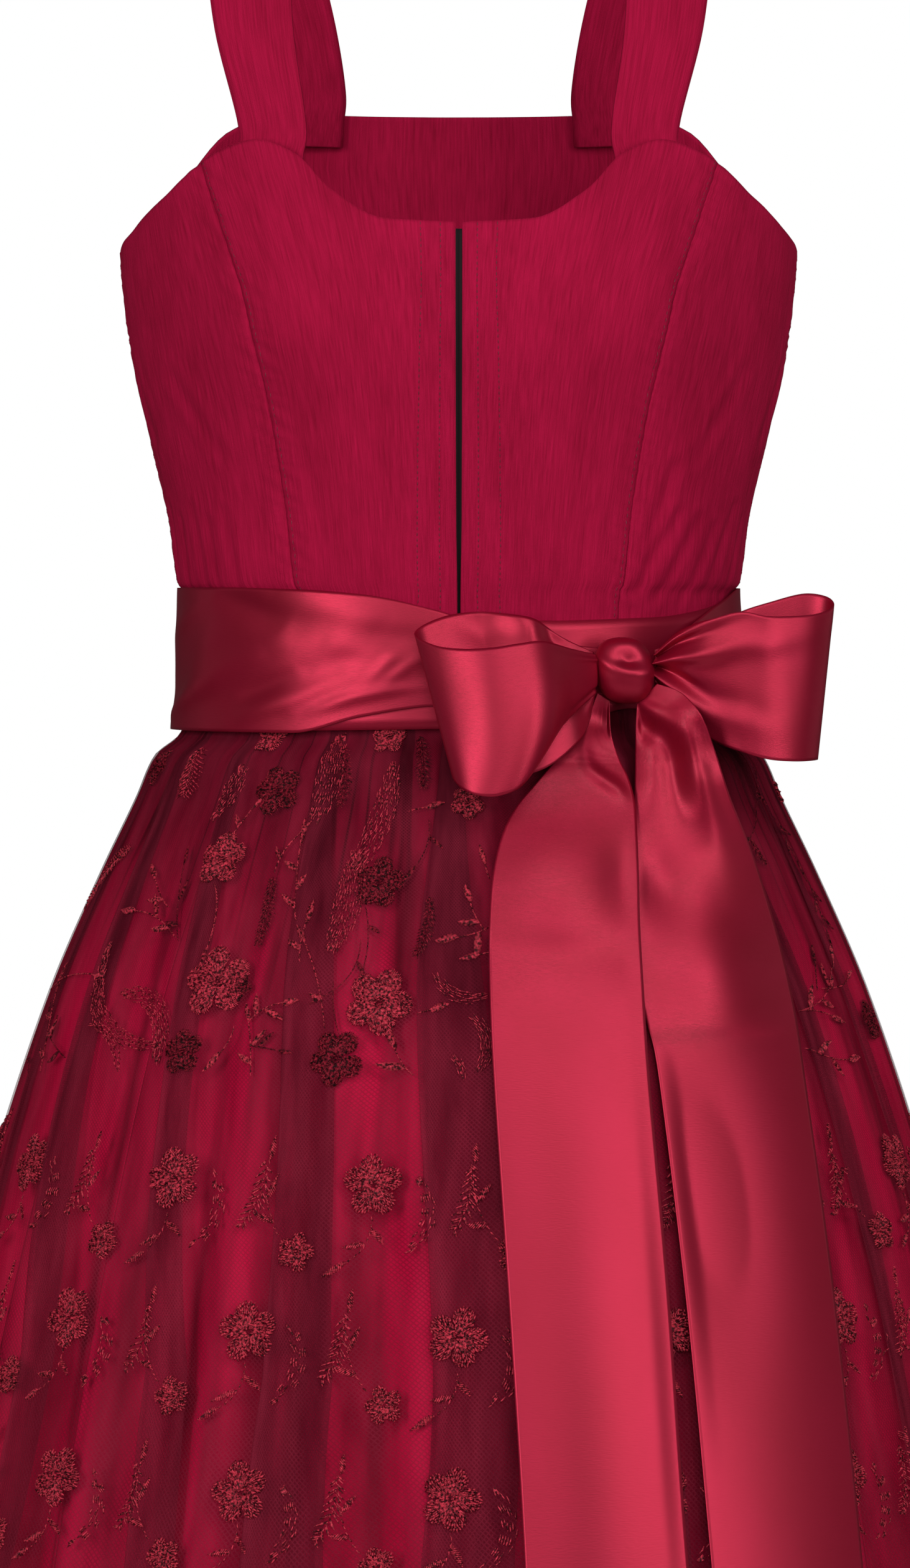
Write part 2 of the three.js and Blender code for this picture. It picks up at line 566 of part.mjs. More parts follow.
// How far forward the apron, or above it the ribbon round the waist, reaches.
function frontReach(x, z) {
  const lowestRibbon = RIBBON_SECTIONS[0].z;
  if (z > lowestRibbon) {
    const width = between(RIBBON_SECTIONS, 'z', z, 'width');
    return WAIST_ROUNDNESS * Math.sqrt(width * width - x * x) + 2 * RIBBON_CLOTH + LAYER_GAP;
  }
  const crest = between(SKIRT_SECTIONS, 'z', z, 'crest') + between(SKIRT_SECTIONS, 'z', z, 'apron');
  return roundness(z) * Math.sqrt(crest * crest - x * x);
}

// The same, evened out up and down, because the hanging satin bridges the sash's lower edge.
function tailReach(x, z) {
  const reaches = TAIL_BRIDGE.map((step) => frontReach(x, z + step));
  return reaches.reduce((sum, reach) => sum + reach, 0) / reaches.length;
}

// A tail of the bow, lying down the front of the apron.
function bowTail(rows) {
  return clothWall((u, v) => {
    const value = (edge, column) => along(rows, 1 - v, `${edge}${column}`);
    const x = mix(value('left', 'X'), value('right', 'X'), u);
    const z = mix(value('left', 'Z'), value('right', 'Z'), u);
    const stand = mix(value('left', 'Stand'), value('right', 'Stand'), u);
    return new THREE.Vector3(x, -tailReach(x, z) - stand - RIBBON_CLOTH, z);
  }, 4, 26, RIBBON_CLOTH);
}

const bodiceCotton = new THREE.MeshStandardMaterial({ color: '#8f1533', roughness: 0.85, metalness: 0 });
const skirtTaffeta = new THREE.MeshStandardMaterial({ color: '#8a1030', roughness: 0.6, metalness: 0 });
const apronTulle = new THREE.MeshStandardMaterial({ color: '#5f1426', roughness: 0.8, metalness: 0 });
const ribbonSatin = new THREE.MeshStandardMaterial({ color: '#b0173a', roughness: 0.35, metalness: 0.1 });
const darkTape = new THREE.MeshStandardMaterial({ color: '#150508', roughness: 0.9, metalness: 0 });

const dirndl = new THREE.Group();

function add(name, geometry, material) {
  const mesh = new THREE.Mesh(geometry, material);
  mesh.name = name;
  dirndl.add(mesh);
}

add('bodice_front_left', bodicePanel(seam('cup', -1), seam('closing', -1), 7), bodiceCotton);
add('bodice_front_right', bodicePanel(seam('closing', 1), seam('cup', 1), 7), bodiceCotton);
add('bodice_side_front_left', bodicePanel(seam('side', -1), seam('cup', -1), 8), bodiceCotton);
add('bodice_side_front_right', bodicePanel(seam('cup', 1), seam('side', 1), 8), bodiceCotton);
add('bodice_side_back_left', bodicePanel(seam('back', -1), seam('side', -1), 7), bodiceCotton);
add('bodice_side_back_right', bodicePanel(seam('side', 1), seam('back', 1), 7), bodiceCotton);
add('bodice_back', bodicePanel(seam('back', 1), seam('back', -1, 360), 10), bodiceCotton);
add('front_placket', placket(), darkTape);
add('strap_left', strap(-1), bodiceCotton);
add('strap_right', strap(1), bodiceCotton);
add('skirt_front', skirtPanel(-45, 45), skirtTaffeta);
add('skirt_right', skirtPanel(45, 135), skirtTaffeta);
add('skirt_back', skirtPanel(135, 225), skirtTaffeta);
add('skirt_left', skirtPanel(225, 315), skirtTaffeta);
add('apron', apron(), apronTulle);
add('waistband', waistband(), ribbonSatin);
add('sash_wrap', sashWrap(), ribbonSatin);
add('bow_loop_left', bowLoop(LOOP_LEFT, -1), ribbonSatin);
add('bow_loop_right', bowLoop(LOOP_RIGHT, 1), ribbonSatin);
add('bow_knot', knot(), ribbonSatin);
add('bow_tail_left', bowTail(TAIL_LEFT), ribbonSatin);
add('bow_tail_right', bowTail(TAIL_RIGHT), ribbonSatin);

export default dirndl;
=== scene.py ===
# %% [markdown]
# # A dirndl with a satin bow, dressed in Blender
# The dress is a hollow form, as it looks when it is worn. The solids of the frame give each
# cloth piece its place and size. Here each piece is made again as a thin shell with its
# folds, its thread and its finish, and it takes the place of the solid.

# %% Load the frame
import math

import bmesh
import bpy
from mathutils import Matrix, Vector, noise
from mathutils.bvhtree import BVHTree


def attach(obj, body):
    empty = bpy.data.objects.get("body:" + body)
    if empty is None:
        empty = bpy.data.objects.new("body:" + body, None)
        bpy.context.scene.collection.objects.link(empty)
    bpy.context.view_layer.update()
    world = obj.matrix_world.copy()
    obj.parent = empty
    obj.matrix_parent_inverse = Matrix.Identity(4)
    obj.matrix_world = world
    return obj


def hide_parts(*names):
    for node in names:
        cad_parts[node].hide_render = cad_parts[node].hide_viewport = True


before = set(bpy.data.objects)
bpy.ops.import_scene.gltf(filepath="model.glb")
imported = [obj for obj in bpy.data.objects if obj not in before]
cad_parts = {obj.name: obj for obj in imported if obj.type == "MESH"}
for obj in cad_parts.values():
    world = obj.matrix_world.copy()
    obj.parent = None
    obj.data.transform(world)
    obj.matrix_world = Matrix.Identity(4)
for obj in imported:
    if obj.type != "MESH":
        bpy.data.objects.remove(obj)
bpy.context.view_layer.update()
MM = 0.001
print("solids in the frame:", len(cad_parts))

# %% [markdown]
# ## The camera
# The photo is taken from straight in front, level with the waist, through a long lens, so
# the sides of the dress hardly draw together. One number sets the lens: how many pixels a
# millimetre takes at the middle of the dress.

# %% Camera
IMAGE_HEIGHT = 2520
PIXELS_PER_MM = 3.3
CAMERA_DISTANCE = 2500
CAMERA_LIFT = math.radians(2)
VIEW_CENTRE = Vector((-1.8, 0, -68))

lens = bpy.data.cameras.new("camera")
lens.sensor_fit = "VERTICAL"
lens.sensor_height = 36
lens.lens = lens.sensor_height * CAMERA_DISTANCE * PIXELS_PER_MM / IMAGE_HEIGHT
camera = bpy.data.objects.new("camera", lens)
away = Vector((0, -math.cos(CAMERA_LIFT), math.sin(CAMERA_LIFT)))
camera.location = (VIEW_CENTRE + away * CAMERA_DISTANCE) * MM
camera.rotation_euler = away.to_track_quat("Z", "Y").to_euler()
bpy.context.collection.objects.link(camera)
bpy.context.scene.camera = camera
print("lens in mm:", round(lens.lens, 1))

# %% [markdown]
# ## Light and floor
# Satin only looks like satin when there is something bright and something dark to reflect.
# Two tall soft boxes stand left and right of the camera and one hangs above. A weak one in
# front fills the shadows, and two weak ones behind edge the sides. The background is white
# to the camera only, so that it doesn't wash out the folds. The floor is where the wearer
# would stand, below the picture.

# %% Lights, background and floor
FLOOR_Z = -1050


def soft_box(name, place, aim, width, height, watts):
    light = bpy.data.lights.new(name, "AREA")
    light.shape = "RECTANGLE"
    light.size = width * MM
    light.size_y = height * MM
    light.energy = watts
    lamp = bpy.data.objects.new(name, light)
    lamp.location = Vector(place) * MM
    direction = Vector(place) - Vector(aim)
    lamp.rotation_euler = direction.to_track_quat("Z", "Y").to_euler()
    bpy.context.collection.objects.link(lamp)


soft_box("left_box", (-1500, -2000, 500), (0, 0, -50), 650, 1700, 34)
soft_box("right_box", (1500, -1700, 400), (0, 0, -50), 500, 1500, 18)
soft_box("top_box", (500, -1800, 1350), (50, 0, -150), 1500, 700, 17)
soft_box("front_box", (200, -2900, 500), (0, 0, -100), 900, 700, 10)
soft_box("left_rim", (-2300, 500, 300), (0, 0, 0), 900, 1300, 1)
soft_box("right_rim", (2300, 500, 300), (0, 0, 0), 900, 1300, 2)

world = bpy.data.worlds.new("studio")
bpy.context.scene.world = world
world.use_nodes = True
studio = world.node_tree
background = studio.nodes["Background"]
background.inputs["Color"].default_value = (1, 1, 1, 1)
dim = studio.nodes.new("ShaderNodeBackground")
dim.inputs["Color"].default_value = (1, 0.97, 0.97, 1)
dim.inputs["Strength"].default_value = 0.05
seen = studio.nodes.new("ShaderNodeLightPath")
either = studio.nodes.new("ShaderNodeMixShader")
studio.links.new(seen.outputs["Is Camera Ray"], either.inputs[0])
studio.links.new(dim.outputs[0], either.inputs[1])
studio.links.new(background.outputs[0], either.inputs[2])
studio.links.new(either.outputs[0], studio.nodes["World Output"].inputs["Surface"])
bpy.context.scene.view_settings.view_transform = "Standard"

bm = bmesh.new()
bmesh.ops.create_grid(bm, x_segments=2, y_segments=2, size=1.2)
bmesh.ops.translate(bm, verts=bm.verts, vec=(0, 0, FLOOR_Z * MM))
floor_mesh = bpy.data.meshes.new("floor")
bm.to_mesh(floor_mesh)
bm.free()
floor = bpy.data.objects.new("floor", floor_mesh)
bpy.context.collection.objects.link(floor)
floor_paint = bpy.data.materials.new("pale_floor")
floor_paint.use_nodes = True
floor_shader = floor_paint.node_tree.nodes["Principled BSDF"]
floor_shader.inputs["Base Color"].default_value = (0.85, 0.84, 0.83, 1)
floor_shader.inputs["Roughness"].default_value = 0.8
floor_mesh.materials.append(floor_paint)
print("floor at mm:", FLOOR_Z)

# %% [markdown]
# ## A helper for finishes
# A finish is a small net of nodes. Written as sums on a wrapped socket, a pattern such as
# a weave reads like its formula, and every value that varies still becomes real nodes.

# %% Sockets that add and multiply


class Wire:
    """A node's output, for use in sums."""

    def __init__(self, finish, socket):
        self.finish = finish
        self.socket = socket

    def work(self, operation, first, second=0.0):
        return self.finish.add("ShaderNodeMath", {"operation": operation}, {0: first, 1: second})

    def __add__(self, other):
        return self.work("ADD", self, other)

    __radd__ = __add__

    def __mul__(self, other):
        return self.work("MULTIPLY", self, other)

    __rmul__ = __mul__

    def __sub__(self, other):
        return self.work("SUBTRACT", self, other)

    def __rsub__(self, other):
        return self.work("SUBTRACT", other, self)

    def sine(self):
        return self.work("SINE", self)

    def at_most(self, other):
        return self.work("MINIMUM", self, other)

    def at_least(self, other):
        return self.work("MAXIMUM", self, other)


class Finish:
    """A material with one Principled shader and the nodes that feed it."""

    def __init__(self, name, **settings):
        self.material = bpy.data.materials.new(name)
        self.material.use_nodes = True
        self.tree = self.material.node_tree
        self.shader = self.tree.nodes["Principled BSDF"]
        for socket, value in settings.items():
            self.feed(socket.replace("_", " "), value)

    def feed(self, socket, value):
        self.join(value, self.shader.inputs[socket])

    def join(self, value, socket):
        if isinstance(value, Wire):
            self.tree.links.new(value.socket, socket)
        else:
            socket.default_value = value

    def add(self, kind, settings=None, inputs=None, output=0):
        node = self.tree.nodes.new(kind)
        for name, value in (settings or {}).items():
            setattr(node, name, value)
        for name, value in (inputs or {}).items():
            self.join(value, node.inputs[name])
        return Wire(self, node.outputs[output])

    def flat_place(self):
        """The place on the flat cloth in metres, across and along."""
        return self.add("ShaderNodeUVMap", {"uv_map": "flat"})

    def solid_place(self):
        """The place in space, in metres."""
        return self.add("ShaderNodeTexCoord", output="Object")

    def parts(self, vector):
        split = self.add("ShaderNodeSeparateXYZ", None, {0: vector})
        return [Wire(self, split.socket.node.outputs[axis]) for axis in range(3)]

    def noise(self, vector, scale, stretch=(1, 1, 1), detail=2.0):
        placed = self.add("ShaderNodeMapping", None, {"Vector": vector, "Scale": stretch})
        inputs = {"Vector": placed, "Scale": scale, "Detail": detail}
        return self.add("ShaderNodeTexNoise", None, inputs)

    def blend(self, factor, low, high):
        """A mix of two colours. The Mix node takes them at its sockets 6 and 7."""
        inputs = {0: factor, 6: (*low, 1), 7: (*high, 1)}
        return self.add("ShaderNodeMix", {"data_type": "RGBA"}, inputs, output=2)

    def bump(self, height, distance):
        return self.add("ShaderNodeBump", None, {"Height": height, "Distance": distance})


# %% [markdown]
# ## The finishes
# The bodice is a matt crepe cotton whose thick and thin threads run upwards. The skirt is a
# smooth taffeta, and the shade of its folds and of the gathers under the sash is painted into
# its colour. The ribbon is satin: its gloss is partly coloured, so its highlights are pink and
# its shadows nearly black. The net has holes far too small to cut, so its threads are a pattern
# of opacity along two diagonals, and near the waist it is painted darker as shade. The thread has a soft
# gloss, and its darker copy is painted shade for motifs under the net's fold. Every pattern is worked out
# from a place on the cloth or in space, with no picture, so it stays sharp close up.

# %% Bodice cotton and stitching thread
cotton = Finish("bodice_cotton", Roughness=0.88, Specular_IOR_Level=0.08)
place = cotton.flat_place()
slub = cotton.noise(place, 1.0, (1100, 60, 1), 3) * 0.7 + cotton.noise(place, 1.0, (420, 20, 1), 2) * 0.35
weave = cotton.noise(place, 1.0, (2600, 2100, 1), 1)
cloud = cotton.noise(place, 30, (1, 0.4, 1))
tone = (slub * 1.3 + cloud * 0.5 - 0.44).at_most(1).at_least(0)
cotton.feed("Base Color", cotton.blend(tone, (0.17, 0.001, 0.014), (0.46, 0.006, 0.054)))
cotton.feed("Normal", cotton.bump(slub + weave * 0.7, 0.0003))

stitch_thread = Finish("stitch_thread", Roughness=0.6)
grain = stitch_thread.noise(stitch_thread.solid_place(), 900)
stitch_thread.feed("Base Color", stitch_thread.blend(grain, (0.11, 0.003, 0.014), (0.2, 0.006, 0.03)))

tape = Finish("placket_tape", Roughness=0.9)
grain = tape.noise(tape.flat_place(), 1500)
tape.feed("Base Color", tape.blend(grain, (0.003, 0.001, 0.001), (0.01, 0.002, 0.004)))
print("finishes:", len(bpy.data.materials))

# %% Skirt taffeta and satin ribbon
taffeta = Finish("skirt_taffeta", Roughness=0.6, Specular_IOR_Level=0.08)
place = taffeta.flat_place()
rib = taffeta.noise(place, 1.0, (300, 2600, 1), 1)
# Painted shade of the skirt's folds: a tall cloud darkens the troughs and lightens the bulges.
cloud = ((taffeta.noise(place, 30, (1, 0.2, 1)) - 0.3) * 2.4).at_most(1).at_least(0)
_, _, height = taffeta.parts(taffeta.solid_place())
# Painted shade under the sash: the skirt's colour darkens towards the waist.
painted_light_share = ((-0.03 - height) * 7).at_most(1).at_least(0.3)
# Painted shadows of the gathers: narrow dark wavy lines in the colour, near the waist only.
line = taffeta.noise(place, 1.0, (24, 3, 1), 1) - 0.5
crease = (1 - line * line * 900).at_least(0) * ((height + 0.17) * 9).at_most(1).at_least(0)
tone = (cloud * painted_light_share - crease * 0.5).at_least(-0.25)
taffeta.feed("Base Color", taffeta.blend(tone + 0.25, (0.06, 0.0003, 0.004), (0.74, 0.004, 0.062)))
taffeta.feed("Normal", taffeta.bump(rib, 0.0002))

satin = Finish("ribbon_satin", Metallic=0.66, Coat_Weight=0.3, Coat_Roughness=0.44, Specular_IOR_Level=0.15)
place = satin.flat_place()
thread = satin.noise(place, 1.0, (260, 3800, 1), 1)
cloud = satin.noise(place, 26)
satin.feed("Base Color", satin.blend(cloud, (0.27, 0.001, 0.017), (0.35, 0.003, 0.032)))
satin.feed("Roughness", 0.37 + thread * 0.06)
satin.feed("Normal", satin.bump(thread, 0.00006))

# %% Net and embroidery thread
NET_PITCH = 1.3

net = Finish("apron_net", Roughness=0.85, Specular_IOR_Level=0.05)
across, along, _ = net.parts(net.flat_place())
turns = 2 * math.pi / (NET_PITCH * MM)
one_way = ((across + along * 0.62) * turns).sine()
other_way = ((across - along * 0.62) * turns).sine()
mesh_line = one_way.at_least(other_way * 0.8)
veil = ((net.noise(net.flat_place(), 1.0, (90, 14, 1), 3) - 0.3) * 2.2).at_most(1).at_least(0)
_, _, height = net.parts(net.solid_place())
# Near the waist the net is gathered denser, so more opaque, and its colour is darkened there as painted
# shade.
gathered_and_shaded = ((height + 0.16) * 9).at_most(1).at_least(0)
net.feed("Base Color", net.blend(veil * (1 - gathered_and_shaded * 0.5), (0.055, 0.002, 0.008), (0.27, 0.018, 0.042)))
net.feed("Alpha", 0.13 + mesh_line.at_least(0) * 0.42 + veil * 0.12 + gathered_and_shaded * 0.2)

silk = Finish("embroidery_thread", Roughness=0.45, Specular_IOR_Level=0.12)
# The second thread is the same silk painted darker: painted shade for the motifs under the net's fold.
shaded_silk = Finish("embroidery_thread_shaded", Roughness=0.5, Specular_IOR_Level=0.08)
SILK_AND_SHADED_COPY = (
    (silk, (0.03, 0.0005, 0.003), (0.60, 0.038, 0.070)),
    (shaded_silk, (0.008, 0.0002, 0.001), (0.27, 0.011, 0.027)),
)
for thread, low, high in SILK_AND_SHADED_COPY:
    spot = thread.noise(thread.solid_place(), 850, detail=2)
    lit = ((spot - 0.39) * 3.6).at_most(1).at_least(0)
    thread.feed("Base Color", thread.blend(lit, low, high))
print("net pitch in mm:", NET_PITCH)

# %% [markdown]
# ## Tables and cloth shells
# The same short tables that size the solids size the shells. A shell starts as one flat
# grid, and each point of the grid is moved to its place on the body by a function of how
# far across and along the cloth it is. A cloth simulation could drape the pieces too,
# but its folds wouldn't be those of the photo. The flat places are kept as the UV map.

# %% Tables with named columns


class Table:
    """Rows of numbers with named columns."""

    def __init__(self, columns, *rows):
        names = columns.split()
        self.last = len(rows) - 1
        self.columns = {name: [row[i] for row in rows] for i, name in enumerate(names)}
        self.key = self.columns[names[0]]
        self.sign = 1 if self.key[-1] > self.key[0] else -1
        self.slopes = {name: self.slopes_of(values) for name, values in self.columns.items()}

    def slopes_of(self, values):
        pairs = zip(self.key, self.key[1:], values, values[1:])
        steps = [(after - before) / (end - start or 1) for start, end, before, after in pairs]
        inside = [2 * a * b / (a + b) if a * b > 0 else 0 for a, b in zip(steps, steps[1:])]
        return [steps[0], *inside, steps[-1]]

    def at(self, key, name):
        """A smooth value between the rows, by the first column, with no overshoot."""
        i = 0
        while i < self.last - 1 and self.sign * (key - self.key[i + 1]) > 0:
            i += 1
        values, slopes = self.columns[name], self.slopes[name]
        span = self.key[i + 1] - self.key[i]
        t = min(max((key - self.key[i]) / span, 0), 1)
        rise = t * t * (3 - 2 * t)
        leave, arrive = t * (1 - t) * (1 - t), t * t * (t - 1)
        ends = values[i] * (1 - rise) + values[i + 1] * rise
        return ends + span * (leave * slopes[i] + arrive * slopes[i + 1])

    def along(self, share, name):
        """A point of a smooth curve through the rows, by its share of the rows."""
        values = self.columns[name]
        place = min(max(share, 0), 1) * self.last
        i = min(int(place), self.last - 1)
        t = place - i
        a, b, c, d = (values[min(max(k, 0), self.last)] for k in (i - 1, i, i + 1, i + 2))
        curve = 2 * b + (c - a) * t + (2 * a - 5 * b + 4 * c - d) * t * t
        return 0.5 * (curve + (3 * b - a - 3 * c + d) * t * t * t)


def rows_of(columns, *rows):
    """Rows of numbers and words, each one with its columns' names."""
    names = columns.split()
    return [dict(zip(names, row)) for row in rows]


def mix(a, b, share):
    return a + (b - a) * share


def bell(value, middle, spread):
    return math.exp(-(((value - middle) / spread) ** 2))


def ease(value, low, high):
    t = min(max((value - low) / (high - low), 0), 1)
    return t * t * (3 - 2 * t)


# %% Cloth from a grid


def length_of(points):
    return sum((b - a).length for a, b in zip(points, points[1:]))


def flat_size(at, samples=24):
    """The cloth's greatest width and length, from lines across and along it."""
    steps = [i / samples for i in range(samples + 1)]
    fine = [i / (samples * 12) for i in range(samples * 12 + 1)]
    widths = [length_of([at(u, v) for u in fine]) for v in steps[::4]]
    lengths = [length_of([at(u, v) for v in steps]) for u in steps[::4]]
    return max(widths) * MM, max(lengths) * MM


def outward(at, u, v, nudge=2e-4):
    """The direction out of the cloth's outer face."""
    u0, u1 = max(u - nudge, 0), min(u + nudge, 1)
    v0, v1 = max(v - nudge, 0), min(v + nudge, 1)
    return (at(u1, v) - at(u0, v)).cross(at(u, v1) - at(u, v0)).normalized()


def cloth(name, at, columns, rows, thickness, finish, closed=False):
    """A shell whose outer face is at(u, v) in millimetres."""
    bm = bmesh.new()
    flat_map = bm.loops.layers.uv.new("flat")
    bmesh.ops.create_grid(bm, x_segments=columns, y_segments=rows, size=0.5)
    width, length = flat_size(at)
    for face in bm.faces:
        face.smooth = True
        for loop in face.loops:
            loop[flat_map].uv = ((loop.vert.co.x + 0.5) * width, (loop.vert.co.y + 0.5) * length)
    for vert in bm.verts:
        vert.co = at(min(max(vert.co.x + 0.5, 0), 1), min(max(vert.co.y + 0.5, 0), 1)) * MM
    if closed:
        bmesh.ops.remove_doubles(bm, verts=bm.verts, dist=1e-6)
    area = sum(face.calc_area() for face in bm.faces)
    mesh = bpy.data.meshes.new(name)
    bm.to_mesh(mesh)
    bm.free()
    mesh.materials.append(finish.material)
    piece = bpy.data.objects.new(name, mesh)
    bpy.context.collection.objects.link(piece)
    if thickness:
        wall = piece.modifiers.new("wall", "SOLIDIFY")
        wall.thickness = thickness * MM
        wall.offset = -1
    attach(piece, "root")
    piece["flat"] = (width, length, area)
    return piece


def stand_for(piece, node):
    """Lets a shell take a solid's place, and prints its cut."""
    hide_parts(node)
    width, length, area = piece["flat"]
    area = min(area, width * length)
    print(f"{piece.name}: cut {width * 1000:.0f} x {length * 1000:.0f} mm, area {area:.4f} m2")


# %% [markdown]
# ## Thread
# Thread is made as what it is: short strands, each thick in the middle. A curve object with
# one line for each strand gives them their roundness, and becomes a mesh.

# %% Strands of thread


class Sewing:
    """Strands that are gathered and then made into one piece."""

    def __init__(self, name, finish, thread, slot, under=0.0, every=1):
        self.name = name
        self.finish = finish
        self.thread = thread
        self.slot = slot
        self.under = under
        self.every = every
        self.asked = 0
        self.strands = []
        self.count = 0

    def jitter(self, amount):
        """An even spread of small numbers that is the same each time."""
        self.count += 1
        return amount * (((self.count * 0.61803) % 1) * 2 - 1)

    def strand(self, points, thick=1.0):
        self.asked += 1
        if self.asked % self.every == 0:
            self.strands.append((points, thick))

    def make(self):
        curve = bpy.data.curves.new(self.name, "CURVE")
        curve.dimensions = "3D"
        curve.bevel_depth = self.thread / 2 * MM
        curve.bevel_resolution = 0
        curve.use_fill_caps = True
        for points, thick in self.strands:
            line = curve.splines.new("POLY")
            line.points.add(len(points) - 1)
            for spot, point, swell in zip(line.points, points, (0.45, 1.0, 0.45)):
                spot.co = (*point, 1)
                spot.radius = thick * swell
        drawn = bpy.data.objects.new(f"{self.name}_lines", curve)
        bpy.context.collection.objects.link(drawn)
        mesh = bpy.data.meshes.new_from_object(drawn.evaluated_get(bpy.context.evaluated_depsgraph_get()))
        bpy.data.objects.remove(drawn)
        for face in mesh.polygons:
            face.use_smooth = True
        mesh.materials.clear()
        mesh.materials.append(self.finish.material)
        piece = bpy.data.objects.new(self.name, mesh)
        bpy.context.collection.objects.link(piece)
        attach(piece, "root")
        triangles = sum(len(face.vertices) - 2 for face in mesh.polygons)
        print(f"{self.name}: {len(self.strands)} strands, {triangles} triangles")


# %% [markdown]
# ## The bodice
# Seven panels are cut and sewn. The seams over the bust and at the sides shape it, and the
# cloth is drawn in a little along each seam, with small puckers. Below the bust it creases
# where the body bends, mostly beside the seams. The two front edges meet in the middle and
# part a little further up, over a dark tape. One formula gives the body's form, and each
# panel is a grid between two seam lines on it, so that neighbours always meet.

# %% The bodice's measures
WAIST_SEAM_Z = -12
SEAM_GAP = 0.14
COTTON = 1.4
WAIST_RADIUS = 95
MEAN_RADIUS = 115
MM_PER_DEGREE = 2.1
CREASE_HEIGHT = 90
CREASE_DEGREES = 30
CUP_DEPTH = 15
CUP_Z = 158
CUP_HEIGHT = 44
CUP_DEGREES = 31
CUP_SPREAD = 21

BODICE = Table(
    "z width front back",
    (-12, 132.0, 95.6, 95.6), (0, 132.4, 95.8, 95.8), (12, 132.8, 97.2, 96.2), (25, 133.2, 99.1, 96.6),
    (29.5, 136.5, 99.9, 99.4), (38, 138, 101.2, 101.2), (58, 140.6, 104.5, 104), (100, 150, 113, 110),
    (150, 160, 120, 116), (185, 164, 120, 119), (215, 164.5, 114, 119),
    (245, 161, 104, 116), (275, 156, 94, 111),
)
TOP_EDGE = Table(
    "angle z", (0, 196), (12, 198), (21, 212), (28, 230), (36, 237), (44, 232), (58, 212),
    (76, 195), (93, 189), (108, 197), (122, 226), (134, 256), (146, 266), (162, 266), (180, 266),
)
SEAMS = Table(
    "z closing cup side back",
    (-12, 0.25, 34.0, 92, 150), (27, 0.30, 34.8, 92, 149), (58, 0.48, 35.1, 92, 147),
    (110, 0.50, 35.3, 92, 143), (160, 0.50, 37.0, 92, 136), (200, 0.50, 43.0, 92, 127),
    (240, 0.50, 51.0, 92, 120),
)
CREASES = rows_of(
    "angle z end_angle end_z width depth",
    (47, 62, 38, 26, 2.6, 1.0), (54, 60, 44, 22, 2.4, 0.9), (60, 56, 52, 20, 2.2, 0.8),
    (44, 84, 40, 40, 3.0, 0.9), (68, 66, 60, 24, 2.6, 0.9), (75, 60, 70, 22, 2.4, 0.8),
    (-52, 64, -50, 24, 2.2, 0.7), (-58, 60, -57, 20, 2.0, 0.8), (-64, 66, -62, 24, 2.4, 0.8),
    (-71, 60, -72, 20, 2.4, 0.9), (-78, 66, -80, 24, 2.6, 0.9), (26, 62, 24, 22, 2.0, 0.4),
    (-22, 70, -21, 26, 2.4, 0.3), (-29, 90, -28, 30, 2.6, 0.4), (120, 80, 110, 30, 3.2, 1.0),
    (-118, 78, -108, 30, 3.2, 1.0), (165, 90, 168, 30, 3.4, 0.9), (-160, 86, -164, 28, 3.4, 0.9),
    (135, 120, 120, 60, 3.6, 0.9), (-138, 118, -122, 62, 3.6, 0.9), (86, 150, 76, 100, 4, 1.2),
    (-86, 148, -77, 100, 4, 1.2), (60, 130, 50, 90, 3.4, 0.8), (-61, 128, -50, 92, 3.4, 0.8),
)
print("creases in the bodice:", len(CREASES))

# %% The bodice's shape


def near_line(x, y, x1, y1, x2, y2):
    """How far a point is from a short line, and how far along the line."""
    dx, dy = x2 - x1, y2 - y1
    share = ((x - x1) * dx + (y - y1) * dy) / (dx * dx + dy * dy)
    held = min(max(share, 0), 1)
    return math.hypot(x - x1 - held * dx, y - y1 - held * dy), share


def bodice_creases(degrees, z):
    """How deep the creases are at a place, with a low ridge beside each one."""
    turn = (degrees + 180) % 360 - 180
    arc = turn * MM_PER_DEGREE
    depth = 0
    for crease in CREASES:
        if abs(crease["z"] - z) > CREASE_HEIGHT or abs(crease["angle"] - turn) > CREASE_DEGREES:
            continue
        away, share = near_line(
            arc, z, crease["angle"] * MM_PER_DEGREE, crease["z"],
            crease["end_angle"] * MM_PER_DEGREE, crease["end_z"],
        )
        width = crease["width"]
        trough = bell(away, 0, width) - 0.6 * bell(away, 2.2 * width, width)
        fade = math.sin(math.pi * min(max(share, 0.15), 0.85))
        depth += crease["depth"] * trough * (0.45 + 0.55 * fade)
    return depth


def bodice_point(degrees, z, out):
    angle = math.radians(degrees)
    turn = (degrees + 180) % 360 - 180
    near_cup = bell(turn, CUP_DEGREES, CUP_SPREAD) + bell(turn, -CUP_DEGREES, CUP_SPREAD)
    cup = CUP_DEPTH * bell(z, CUP_Z, CUP_HEIGHT) * near_cup
    width = BODICE.at(z, "width") + out + 0.35 * cup
    depth = BODICE.at(z, "front" if math.cos(angle) > 0 else "back") + out + cup
    return Vector((width * math.sin(angle), -depth * math.cos(angle), z))


def top_edge(degrees):
    return TOP_EDGE.at(abs((degrees + 180) % 360 - 180), "z")


